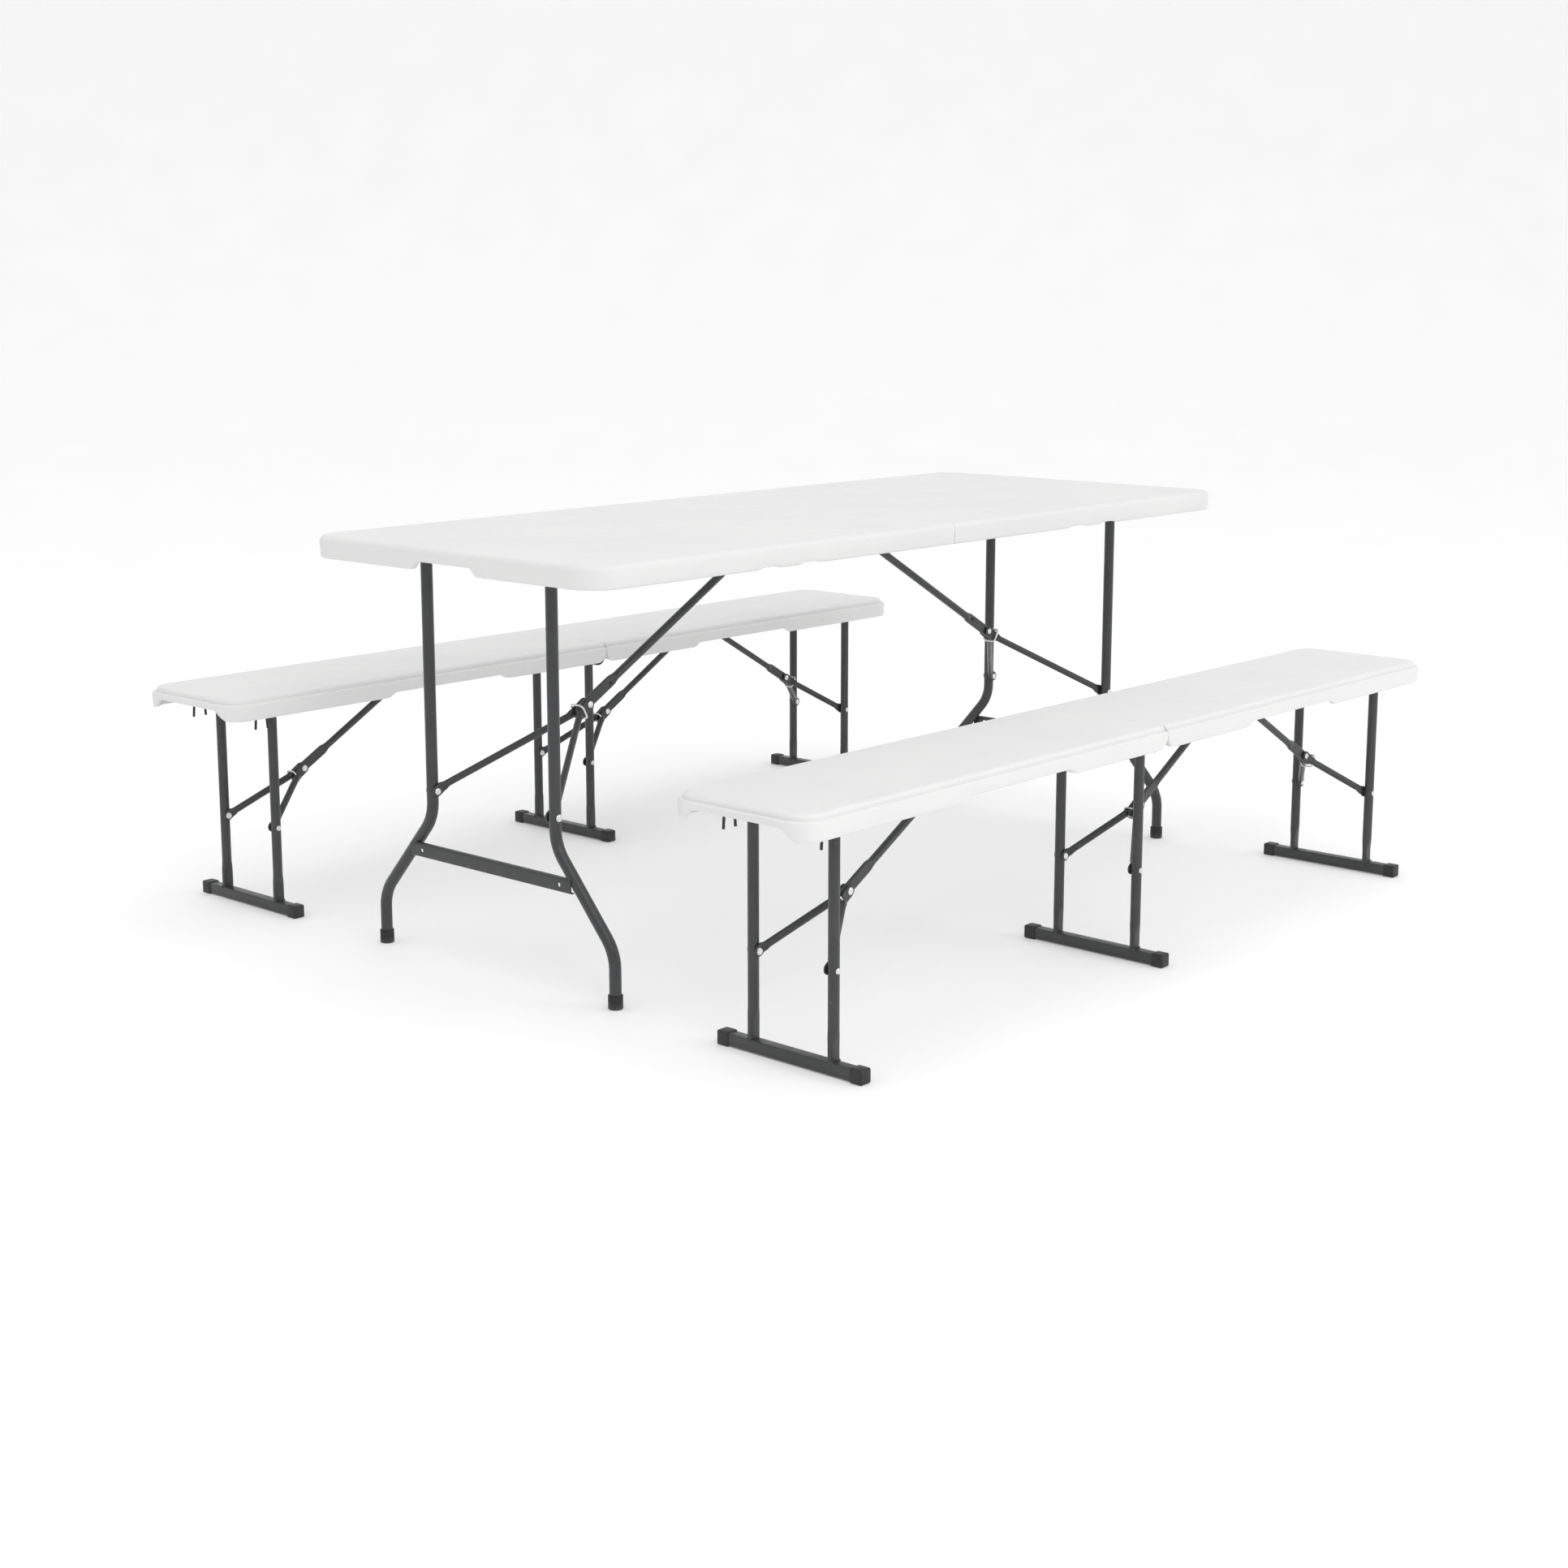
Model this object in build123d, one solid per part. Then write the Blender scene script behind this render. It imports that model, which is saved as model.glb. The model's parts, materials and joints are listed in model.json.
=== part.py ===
from build123d import *
import math
import os
from types import SimpleNamespace

# Folding picnic set: a fold-in-half table and two fold-in-half benches.
# +X runs along the table, +Y across it and +Z up. The origin is on the ground under
# the middle of the table. The front bench is on the -Y side. Millimetres.

# ---- table top ----
TABLE_L = 1800.0
TABLE_W = 726.0
TABLE_H = 740.0
TOP_DEPTH = 38.0          # top surface to the bottom of the rim
TOP_CORNER_R = 60.0       # corner radius in plan
TOP_EDGE_R = 10.0         # rounded upper edge
TOP_SKIN = 6.0            # wall over the recess in the underside
TOP_RIM = 14.0            # width of the rim round the underside
TOP_RECESS_HALF = 66.0    # half width of the hand recess in each end
TOP_RECESS_RISE = 14.0
TOP_RECESS_RUN = 18.0     # run of the sloped side of the recess
TOP_NOTCHES = ((366.0, 412.0), (470.0, 516.0))   # shallow steps under the long edges
TOP_NOTCH_RISE = 3.5

# ---- bench seats ----
SEAT_L = 1880.0
SEAT_W = 278.0
SEAT_H = 425.0
SEAT_DEPTH = 40.0
SEAT_CORNER_R = 45.0
SEAT_LIP = 8.0            # the raised seat stands this far inside the skirt
SEAT_RAISE = 9.0
SEAT_EDGE_R = 7.0
SEAT_SKIN = 5.0
SEAT_RIM = 12.0
SEAT_RECESS_HALF = 87.0
SEAT_RECESS_RISE = 19.0
SEAT_RECESS_RUN = 32.0
SEAT_STEP = (275.0, 566.0)   # the skirt is shallower between these distances
SEAT_STEP_RISE = 9.0
SEAT_SEAM_R = 22.0        # rounded lower corners where the seat halves meet
SEAT_WINDOW_HALF = 118.0  # the seam wall is open this far each side for the leg pivot
BENCH_Y = 690.0           # bench centre line from the table centre line

SEAM_GAP = 0.3            # each half stops this far from the middle
STEP_RUN = 18.0           # run of the sloped side of a step under a long edge

# ---- table hinge ----
HINGE_Y = 230.0
HINGE_DROP = 3.5          # hinge axis below the rim
KNUCKLE_R = 3.3
HINGE_PIN_R = 1.6
STRAP_L = 34.0
STRAP_W = 36.0
STRAP_T = 2.5

# ---- leg frames, one set of sizes for the table and one for the benches ----
TABLE = SimpleNamespace(
    fold=90.0, pivot_z=712.0, rivet_z=300.0, top_z=734.0, anchor_u=717.0, anchor_z=723.5,
    over=9.0, leg_y=157.0, leg_r=10.25, arm_r=6.5, brace_r=7.25, tab_w=10.0, anchor_w=8.0,
    tab_t=4.0, flat_half=4.5, play=1.5, flat_run=79.0, tail=28.0, ring_at=21.0,
    straight=36.0, leg_flat=22.0, cross_half=172.0, mount_y=120.0, mount_low=700.0, wire_r=2.0,
    rivet_h=1.8, ring_play=0.8)
BENCH = SimpleNamespace(
    fold=88.0, pivot_z=395.5, rivet_z=163.0, top_z=420.0, anchor_u=408.5, anchor_z=411.0,
    over=7.0, leg_y=81.5, leg_r=9.0, arm_r=6.5, brace_r=6.5, tab_w=9.5, anchor_w=6.5,
    tab_t=3.5, flat_half=3.5, play=1.5, flat_run=66.0, tail=32.0, ring_at=25.15,
    straight=27.6, leg_flat=16.0, cross_half=114.0, mount_y=102.0, mount_low=380.0, wire_r=1.5,
    rivet_h=1.2, ring_play=0.5)
TABLE_LEG_X = 802.0
BENCH_LEG_X = {"left": (-809.0, 1), "mid": (0.0, 1), "right": (834.0, -1)}

TUBE_WALL = 1.2
PIVOT_PLAY = 0.15         # running clearance round every pivot tube and pin
SEAT_PLAY = 0.05          # a fixing stops this far below the plastic it is screwed to
PIN_R = 3.0
MOUNT_L = 26.0
MOUNT_W = 20.0
RIVET_R = 6.0
SEAM_SADDLE_WALL = 11.0   # wall of the saddles where the seat halves meet

# ---- table legs ----
BEND_Z = (252.0, 94.0)    # corners of the S-bend
FOOT_Y = 295.0
BEND_R = 60.0
CAP_R = 12.5
CAP_H = 24.0
CAP_FLOOR = 3.0
CROSSBAR_Z = 191.0
CROSSBAR_H = 25.0
CROSSBAR_U = (-12.0, -4.0)
CROSSBAR_HALF = 204.0
CROSSBAR_WALL = 2.0

# ---- bench feet ----
BAR = 20.0                # square foot bar
BAR_HALF = 145.5
BAR_U = -2.0
BAR_WALL = 1.5
SHOE = 24.0               # square end cap
SHOE_L = 24.0
SHOE_TIP = 2.0
FLAT_TOP = 72.0           # the leg tube is pressed flat below here
FLAT_LOW = 42.0
FLAT_W = 23.0
FLAT_T = 9.0

# ---- storage clips under the left end of each bench ----
CLIP_X = -844.0
CLIP_Y = 98.0
CLIP_LOW = 359.0
CLIP_GRIP = 9.6           # half the gap between the prongs
PRONG_R = 2.3
CLIP_BASE = (34.0, 16.0, 5.0)


def block(x, y, z):
    """A box from its (low, high) along each axis."""
    size = [b - a for a, b in (x, y, z)]
    centre = [(a + b) / 2 for a, b in (x, y, z)]
    return Pos(*centre) * Box(*size)


def drum(radius, length, centre):
    """A cylinder along Y."""
    return Pos(*centre) * Rot(90, 0, 0) * Cylinder(radius, length)


def tube_along(points, radius, bend=None):
    """A round bar along straight runs, with its corners rounded to the bend radius."""
    if bend:
        path = FilletPolyline(*points, radius=bend)
    else:
        path = Polyline(*points)
    return sweep((path ^ 0) * Circle(radius), path=path)


def group(shapes):
    """Separate solids that make one named piece."""
    return Compound([solid for shape in shapes for solid in shape.solids()])


def mirrored(shape):
    return mirror(shape, about=Plane.YZ)


def ramped(low, high, base, rise, run):
    """Outline of a recess with sloped sides: wide at the base, narrower at its top."""
    below = base - 10.0
    return Polygon(
        (low, below), (low, base), (low + run, base + rise),
        (high - run, base + rise), (high, base), (high, below), align=None)


def slab(x_high, width, z, corner_r):
    """Half of a plate with rounded outer corners, from the seam outwards."""
    low_z, high_z = z
    body = block((SEAM_GAP, x_high), (-width / 2, width / 2), z)
    upright = body.edges().filter_by(Axis.Z).group_by(Axis.X)[-1]
    return fillet(upright, corner_r)


def hand_recess(length, half, base, rise, run):
    """The waste of the hand recess in the end wall."""
    side = ramped(-half - run, half + run, base, rise, run)
    return Pos(length / 2 - 50.0, 0, 0) * extrude(Plane.YZ * side, amount=60.0)


def long_edge_cut(low, high, base, rise, width):
    """A shallow step across both long walls."""
    side = ramped(low - STEP_RUN / 2, high + STEP_RUN / 2, base, rise, STEP_RUN)
    return extrude(Plane.XZ * side, amount=width / 2 + 5.0, both=True)


def underside(length, width, rim, top, base):
    """The hollow inside the rim."""
    inner = block((SEAM_GAP + rim, length / 2 - rim), (-width / 2 + rim, width / 2 - rim),
                  (base - 10.0, top))
    outer_edges = inner.edges().filter_by(Axis.Z).group_by(Axis.X)[-1]
    return fillet(outer_edges, 30.0)


def table_top():
    """Right half of the table top."""
    base = TABLE_H - TOP_DEPTH
    body = slab(TABLE_L / 2, TABLE_W, (base, TABLE_H), TOP_CORNER_R)
    rim_edges = [e for e in body.faces().sort_by(Axis.Z)[-1].edges()
                 if e.center().X > SEAM_GAP + 1.0]
    body = fillet(rim_edges, TOP_EDGE_R)
    body -= underside(TABLE_L, TABLE_W, TOP_RIM, TABLE_H - TOP_SKIN, base)
    body -= hand_recess(TABLE_L, TOP_RECESS_HALF, base, TOP_RECESS_RISE, TOP_RECESS_RUN)
    for low, high in TOP_NOTCHES:
        body -= long_edge_cut(low, high, base, TOP_NOTCH_RISE, TABLE_W)
    return body


def bench_seat():
    """Right half of a bench seat: a skirt with a raised seat on it."""
    base = SEAT_H - SEAT_DEPTH
    ledge = SEAT_H - SEAT_RAISE
    skirt = slab(SEAT_L / 2, SEAT_W, (base, ledge), SEAT_CORNER_R)
    ledge_edges = [e for e in skirt.faces().sort_by(Axis.Z)[-1].edges()
                   if e.center().X > SEAM_GAP + 1.0]
    skirt = fillet(ledge_edges, SEAT_LIP / 2)
    raised = slab(SEAT_L / 2 - SEAT_LIP, SEAT_W - 2 * SEAT_LIP, (ledge - 1.0, SEAT_H),
                  SEAT_CORNER_R - SEAT_LIP)
    seat_edges = [e for e in raised.faces().sort_by(Axis.Z)[-1].edges()
                  if e.center().X > SEAM_GAP + 1.0]
    body = skirt + fillet(seat_edges, SEAT_EDGE_R)
    body -= underside(SEAT_L, SEAT_W, SEAT_RIM, SEAT_H - SEAT_SKIN, base)
    body -= hand_recess(SEAT_L, SEAT_RECESS_HALF, base, SEAT_RECESS_RISE, SEAT_RECESS_RUN)
    body -= long_edge_cut(*SEAT_STEP, base, SEAT_STEP_RISE, SEAT_W)
    body -= seam_corner(base)
    window = block((0, SEAT_RIM + 14.0), (-SEAT_WINDOW_HALF, SEAT_WINDOW_HALF),
                   (base - 10.0, SEAT_H - SEAT_SKIN))
    return body - window


def seam_corner(base):
    """The waste outside the rounded lower corner at the seam."""
    r = SEAT_SEAM_R
    corner = block((-5.0, SEAM_GAP + r), (-SEAT_W, SEAT_W), (base - 5.0, base + r))
    return corner - drum(r, 3 * SEAT_W, (SEAM_GAP + r, 0, base + r))


def hinge_knuckle(y, length):
    return drum(KNUCKLE_R, length, (0, y, hinge_z()))


def hinge_z():
    return TABLE_H - TOP_DEPTH - HINGE_DROP


def strap(side, y, own_spans):
    """A hinge leaf under the rim, joined to its own knuckles."""
    low, high = hinge_z() + 0.8, hinge_z() + 0.8 + STRAP_T
    near, far = KNUCKLE_R + 1.0, STRAP_L
    leaf = block(sorted((side * near, side * far)), (y - STRAP_W / 2, y + STRAP_W / 2),
                 (low, high))
    for a, b in own_spans:
        leaf += block(sorted((0, side * (near + 1.0))), (y + a, y + b), (low, high))
        leaf += hinge_knuckle(y + (a + b) / 2, b - a)
    return leaf


def table_hinge(side):
    """Both hinges of one half; the right half carries the pins."""
    middle = [(-6.0, 6.0)]
    outer = [(-18.0, -6.5), (6.5, 18.0)]
    leaves = []
    for y in (-HINGE_Y, HINGE_Y):
        if side > 0:
            pin = drum(HINGE_PIN_R, STRAP_W, (0, y, hinge_z()))
            leaves.append(strap(1, y, middle) + pin)
        else:
            bore = drum(HINGE_PIN_R + PIVOT_PLAY / 2, STRAP_W + 2, (0, y, hinge_z()))
            leaves.append(strap(-1, y, outer) - bore)
    return group(leaves)


def linkage(s):
    """The folding brace: rest angles of the arm and the brace, their lengths, the knee."""
    leg = s.pivot_z - s.rivet_z
    fold = math.radians(s.fold)
    shut_u, shut_z = leg * math.sin(fold), s.pivot_z - leg * math.cos(fold)
    opened = math.hypot(s.anchor_u, s.anchor_z - s.rivet_z)
    closed = math.hypot(s.anchor_u - shut_u, s.anchor_z - shut_z)
    along = opened / 2 - closed / 2 * math.sqrt(1 + 4 * s.over**2 / (opened**2 - closed**2))
    line = math.atan2(s.anchor_z - s.rivet_z, s.anchor_u)
    arm = math.hypot(along, s.over)
    brace = math.hypot(opened - along, s.over)
    arm_angle = line + math.asin(s.over / arm)
    brace_angle = line - math.asin(s.over / brace)
    knee = (arm * math.cos(arm_angle), s.rivet_z + arm * math.sin(arm_angle))
    return SimpleNamespace(arm=arm, brace=brace, arm_angle=arm_angle,
                           brace_angle=brace_angle, knee=knee)


def arm(s, side):
    """One lower arm along +X from its leg rivet: a round tube pressed flat at both ends."""
    length = linkage(s).arm
    knee_inner = s.flat_half + s.play
    leg_outer = s.leg_y - s.leg_r - 0.6
    knee_y, leg_y = knee_inner + s.arm_r, leg_outer - s.arm_r
    start, end = s.leg_flat, length - s.straight
    route = [(start - 4, leg_y), (start, leg_y), (end - 4, knee_y), (end, knee_y)]
    points = [(x, side * y, 0) for x, y in route]
    body = tube_along(points, s.arm_r, 6.0)
    knee_tab, leg_tab = knee_inner + s.tab_t / 2, leg_outer - s.tab_t / 2
    for span, y, eye in (((0, start), leg_tab, 0), ((end - 4, length), knee_tab, length)):
        faces = sorted((side * (y - s.tab_t / 2), side * (y + s.tab_t / 2)))
        body += block(span, faces, (-s.tab_w, s.tab_w))
        body += drum(s.tab_w, s.tab_t, (eye, side * y, 0))
    head = knee_inner + s.tab_t + s.rivet_h / 2
    body += drum(RIVET_R, s.rivet_h, (length, side * head, 0))
    return body - drum(PIN_R + PIVOT_PLAY, 3 * s.tab_t, (0, side * leg_tab, 0))


def arms(s):
    """Both lower arms, leaning up from the leg rivets to the knee."""
    lean = Pos(0, 0, s.rivet_z) * Rot(0, -math.degrees(linkage(s).arm_angle), 0)
    return group([lean * arm(s, side) for side in (-1, 1)])


def along_brace(s):
    """Place of the knee with +X pointing up the brace."""
    link = linkage(s)
    knee_u, knee_z = link.knee
    return Pos(knee_u, 0, knee_z) * Rot(0, -math.degrees(link.brace_angle), 0)


def brace(s):
    """The upper brace: flat past the knee, round above, with a flat eye at its anchor."""
    length = linkage(s).brace
    flat = (-s.flat_half, s.flat_half)
    body = tube_along([(s.flat_run - 4, 0, 0), (length - 14, 0, 0)], s.brace_r)
    body -= tube_along([(s.flat_run + 6, 0, 0), (length - 24, 0, 0)], s.brace_r - TUBE_WALL)
    body += block((-s.tail + s.tab_w, s.flat_run), flat, (-s.tab_w, s.tab_w))
    body += drum(s.tab_w, 2 * s.flat_half, (-s.tail + s.tab_w, 0, 0))
    body += block((length - 22, length), flat, (-s.anchor_w, s.anchor_w))
    body += drum(s.anchor_w, 2 * s.flat_half, (length, 0, 0))
    body -= drum(PIN_R + PIVOT_PLAY, 4 * s.flat_half, (length, 0, 0))
    return along_brace(s) * body


def lock_ring(s):
    """Wire ring that holds the knee straight."""
    link = linkage(s)
    drift = s.ring_at * math.tan(link.arm_angle - link.brace_angle) / 2
    half_y = s.flat_half + s.play + s.tab_t + s.rivet_h + s.ring_play + s.wire_r
    half_z = s.tab_w + drift + s.ring_play + s.wire_r
    corners = [(0, -half_y, -half_z), (0, half_y, -half_z),
               (0, half_y, half_z), (0, -half_y, half_z)]
    path = FilletPolyline(*corners, radius=half_y * 0.42, close=True)
    ring = sweep((path ^ 0) * Circle(s.wire_r), path=path)
    return along_brace(s) * Pos(-s.ring_at, 0, -drift) * ring


def leg_pins(s):
    """Rivets that carry the arms, from inside each leg through the arm's eye."""
    reach = s.leg_y - s.leg_r - 0.6 - s.tab_t
    pins = []
    for side in (-1, 1):
        length = s.tab_t + 0.6 + 3.0 + 0.4
        pins.append(drum(PIN_R, length, (0, side * (reach - 0.4 + length / 2), s.rivet_z)))
        pins.append(drum(RIVET_R, 2.0, (0, side * (reach - 1.4), s.rivet_z)))
    return pins


def crossbar():
    """Channel across the outer face of the table legs, with a hole near each end."""
    z = (CROSSBAR_Z - CROSSBAR_H / 2, CROSSBAR_Z + CROSSBAR_H / 2)
    bar = block(CROSSBAR_U, (-CROSSBAR_HALF, CROSSBAR_HALF), z)
    low, high = CROSSBAR_U
    inside = block((low + CROSSBAR_WALL, high + 1.0), (-CROSSBAR_HALF + 24, CROSSBAR_HALF - 24),
                   (z[0] + CROSSBAR_WALL, z[1] - CROSSBAR_WALL))
    return bar - inside


def table_legs():
    """One welded frame: two bent legs, the pivot tube and the crossbar."""
    s = TABLE
    shell = tube_along([(0, -s.cross_half, s.pivot_z), (0, s.cross_half, s.pivot_z)], s.leg_r)
    bores = tube_along([(0, -s.cross_half - 1, s.pivot_z), (0, s.cross_half + 1, s.pivot_z)],
                       s.leg_r - TUBE_WALL)
    for side in (-1, 1):
        route = [(0, side * s.leg_y, s.pivot_z), (0, side * s.leg_y, BEND_Z[0]),
                 (0, side * FOOT_Y, BEND_Z[1]), (0, side * FOOT_Y, CAP_FLOOR)]
        shell += tube_along(route, s.leg_r, BEND_R)
        bores += tube_along(route, s.leg_r - TUBE_WALL, BEND_R)
    body = shell + crossbar() - bores
    for pin in leg_pins(s):
        body += pin
    return body


def table_feet():
    """Rubber cups on the ends of the legs."""
    caps = []
    for side in (-1, 1):
        at = Pos(0, side * FOOT_Y, 0)
        cap = at * Pos(0, 0, CAP_H / 2) * Cylinder(CAP_R, CAP_H)
        cap = fillet(cap.edges().group_by(Axis.Z)[0], 2.0)
        tube = at * Pos(0, 0, CAP_FLOOR + CAP_H / 2) * Cylinder(TABLE.leg_r, CAP_H)
        caps.append(cap - tube)
    return group(caps)


def bench_leg(side):
    """One bench leg: a round tube pressed flat where it meets the foot bar."""
    s = BENCH
    y = side * s.leg_y
    tube = tube_along([(0, y, s.pivot_z), (0, y, FLAT_TOP)], s.leg_r)
    upper = Plane((0, y, FLAT_TOP)) * Circle(s.leg_r)
    lower = Plane((0, y, FLAT_LOW)) * RectangleRounded(FLAT_W, FLAT_T, FLAT_T * 0.45)
    press = loft([upper, lower])
    flat_low = SHOE / 2 + BAR / 2 - BAR_WALL
    flat = extrude(lower, amount=flat_low - FLAT_LOW)
    return tube + press + flat


def bench_legs():
    """One welded frame: two legs, the pivot tube and the foot bar."""
    s = BENCH
    shell = tube_along([(0, -s.cross_half, s.pivot_z), (0, s.cross_half, s.pivot_z)], s.leg_r)
    bores = tube_along([(0, -s.cross_half - 1, s.pivot_z), (0, s.cross_half + 1, s.pivot_z)],
                       s.leg_r - TUBE_WALL)
    for side in (-1, 1):
        shell += bench_leg(side)
        y = side * s.leg_y
        bores += tube_along([(0, y, s.pivot_z), (0, y, FLAT_TOP + 4)], s.leg_r - TUBE_WALL)
    half, hollow = BAR / 2, BAR / 2 - BAR_WALL
    middle = SHOE / 2
    bar = block((BAR_U - half, BAR_U + half), (-BAR_HALF, BAR_HALF),
                (middle - half, middle + half))
    bar -= block((BAR_U - hollow, BAR_U + hollow), (-BAR_HALF - 1, BAR_HALF + 1),
                 (middle - hollow, middle + hollow))
    body = shell - bores + bar
    for pin in leg_pins(s):
        body += pin
    return body


def bench_feet():
    """Square plastic caps on the foot bar, which are what the bench stands on."""
    shoes = []
    for side in (-1, 1):
        tip = side * (BAR_HALF + SHOE_TIP)
        shoe = block((BAR_U - SHOE / 2, BAR_U + SHOE / 2), sorted((tip, tip - side * SHOE_L)),
                     (0, SHOE))
        shoe = fillet(shoe.edges(), 2.0)
        pocket = block((BAR_U - BAR / 2, BAR_U + BAR / 2),
                       sorted((0, side * BAR_HALF)), (SHOE / 2 - BAR / 2, SHOE / 2 + BAR / 2))
        shoes.append(shoe - pocket)
    return group(shoes)


def pivot_mounts(s):
    """Two saddles round the pivot tube of a leg frame."""
    saddles = []
    for side in (-1, 1):
        y = side * s.mount_y
        body = block((-MOUNT_L / 2, MOUNT_L / 2), (y - MOUNT_W / 2, y + MOUNT_W / 2),
                     (s.mount_low, s.top_z - SEAT_PLAY))
        saddles.append(body - drum(s.leg_r + PIVOT_PLAY, 2 * MOUNT_W, (0, y, s.pivot_z)))
    return saddles


def anchor_mount(s, places):
    """A U-bracket under the top with one pin for each brace that ends there."""
    inner = s.flat_half + 0.7
    outer = inner + 2.5
    low, high = min(places) - 8.5, max(places) + 8.5
    ceiling = s.top_z - SEAT_PLAY
    body = block((low, high), (-outer, outer), (ceiling - 1.5, ceiling))
    for side in (-1, 1):
        span = sorted((side * inner, side * outer))
        body += block((low, high), span, (s.anchor_z - s.anchor_w + 2.0, ceiling))
    for x in places:
        body += drum(PIN_R, 2 * outer + 2.0, (x, 0, s.anchor_z))
    return body


def seam_saddles(side, y_span):
    """Saddles on the pivot tube that both seat halves share, hung from one half only."""
    s = BENCH
    low, high = y_span
    middle, width = (low + high) / 2, high - low
    reach = s.leg_r + SEAM_SADDLE_WALL
    saddles = []
    for way in (-1, 1):
        y = way * middle
        body = drum(reach, width, (0, y, s.pivot_z))
        body += block(sorted((side * 1.0, side * reach)), (y - width / 2, y + width / 2),
                      (s.pivot_z, s.top_z - SEAT_PLAY))
        saddles.append(body - drum(s.leg_r + PIVOT_PLAY, 2 * width, (0, y, s.pivot_z)))
    return group(saddles)


def clip_prong(x, y, way, ceiling):
    """A springy prong with a neck at the top and a tip that flares outwards."""
    grip = CLIP_GRIP + PRONG_R
    route = [(5.0, ceiling - 1.0), (5.0, ceiling - 10.0), (grip + 1.0, ceiling - 21.0),
             (grip - 0.5, ceiling - 35.0), (grip + 1.5, CLIP_LOW)]
    return tube_along([(x + way * u, y, z) for u, z in route], PRONG_R, 5.0)


def storage_clips():
    """Pairs of prongs that grip the other half's leg tube when the bench is shut."""
    clips = []
    ceiling = BENCH.top_z - SEAT_PLAY
    length, width, thick = CLIP_BASE
    for side in (-1, 1):
        y = side * CLIP_Y
        clip = Pos(CLIP_X, y, ceiling - thick / 2) * Box(length, width, thick)
        for way in (-1, 1):
            clip += clip_prong(CLIP_X, y, way, ceiling)
        clips.append(clip)
    return group(clips)


def placed(shape, x, way, y):
    """A frame part at its leg pivot, folding towards +X when way is 1."""
    return Pos(x, y, 0) * (shape if way > 0 else mirrored(shape))


def table_parts():
    top = table_top()
    parts = {"table_top_left": mirrored(top), "table_top_right": top,
             "table_hinge_left": table_hinge(-1), "table_hinge_right": table_hinge(1)}
    mounts = group(pivot_mounts(TABLE) + [anchor_mount(TABLE, [TABLE.anchor_u])])
    pieces = {"legs": table_legs(), "feet": table_feet(), "arms": arms(TABLE),
              "brace": brace(TABLE), "ring": lock_ring(TABLE), "mounts": mounts}
    for name, x, way in (("left", -TABLE_LEG_X, 1), ("right", TABLE_LEG_X, -1)):
        for piece, shape in pieces.items():
            parts[f"table_{name}_{piece}"] = placed(shape, x, way, 0)
    return parts


def bench_parts():
    """One bench about its own middle, as a name to shape table without the bench's name."""
    seat = bench_seat()
    left_x, _ = BENCH_LEG_X["left"]
    mid_x, _ = BENCH_LEG_X["mid"]
    right_x, _ = BENCH_LEG_X["right"]
    left_mounts = [Pos(left_x, 0, 0) * m for m in pivot_mounts(BENCH)]
    left_mounts.append(anchor_mount(BENCH, [left_x + BENCH.anchor_u]))
    right_mounts = [Pos(right_x, 0, 0) * m for m in pivot_mounts(BENCH)]
    right_mounts.append(anchor_mount(
        BENCH, [mid_x + BENCH.anchor_u, right_x - BENCH.anchor_u]))
    parts = {"seat_left": mirrored(seat), "seat_right": seat, "clips": storage_clips(),
             "hinge_left": seam_saddles(-1, (52.0, 70.0)),
             "hinge_right": seam_saddles(1, (92.0, 112.0)),
             "mounts_left": group(left_mounts),
             "mounts_right": group(right_mounts)}
    pieces = {"legs": bench_legs(), "feet": bench_feet(), "arms": arms(BENCH),
              "brace": brace(BENCH), "ring": lock_ring(BENCH)}
    for name, (x, way) in BENCH_LEG_X.items():
        for piece, shape in pieces.items():
            parts[f"{name}_{piece}"] = placed(shape, x, way, 0)
    return parts


def main():
    os.makedirs("parts", exist_ok=True)
    parts = table_parts()
    bench = bench_parts()
    for bench_name, y in (("front", -BENCH_Y), ("back", BENCH_Y)):
        for name, shape in bench.items():
            parts[f"{bench_name}_{name}"] = Pos(0, y, 0) * shape
    for name, shape in parts.items():
        export_step(shape, f"parts/{name}.step")


main()
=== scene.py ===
import json
import math
import bpy
import bmesh
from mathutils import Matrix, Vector


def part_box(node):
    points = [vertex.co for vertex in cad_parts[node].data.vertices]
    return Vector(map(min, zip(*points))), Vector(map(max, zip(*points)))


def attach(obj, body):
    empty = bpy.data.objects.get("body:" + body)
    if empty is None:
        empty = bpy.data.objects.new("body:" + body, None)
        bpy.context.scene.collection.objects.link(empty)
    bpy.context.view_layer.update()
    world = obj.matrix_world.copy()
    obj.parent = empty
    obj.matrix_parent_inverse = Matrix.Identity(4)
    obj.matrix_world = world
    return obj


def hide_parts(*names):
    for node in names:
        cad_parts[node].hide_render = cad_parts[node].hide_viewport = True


# Looks of a folding picnic set: a table and two benches. Shapes are worked out in
# millimetres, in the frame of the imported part, and turned into metres as each piece is
# made. Materials, lights and the camera use metres.

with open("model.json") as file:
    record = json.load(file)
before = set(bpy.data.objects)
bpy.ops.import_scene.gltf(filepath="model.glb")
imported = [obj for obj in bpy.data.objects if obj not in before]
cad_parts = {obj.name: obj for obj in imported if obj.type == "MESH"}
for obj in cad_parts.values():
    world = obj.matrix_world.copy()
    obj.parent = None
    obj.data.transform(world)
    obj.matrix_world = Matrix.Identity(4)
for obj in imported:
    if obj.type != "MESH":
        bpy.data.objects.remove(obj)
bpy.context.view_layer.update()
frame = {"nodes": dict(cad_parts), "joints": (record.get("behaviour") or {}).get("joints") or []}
JOINTS = {j["name"]: j for j in frame["joints"]}
NODES = frame["nodes"]
MM = 0.001

# Edges that turn by fewer degrees than these are shaded smooth.
SOFT_CREASE = 32.0
TUBE_CREASE = 40.0
MOULDED_CREASE = 50.0


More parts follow.
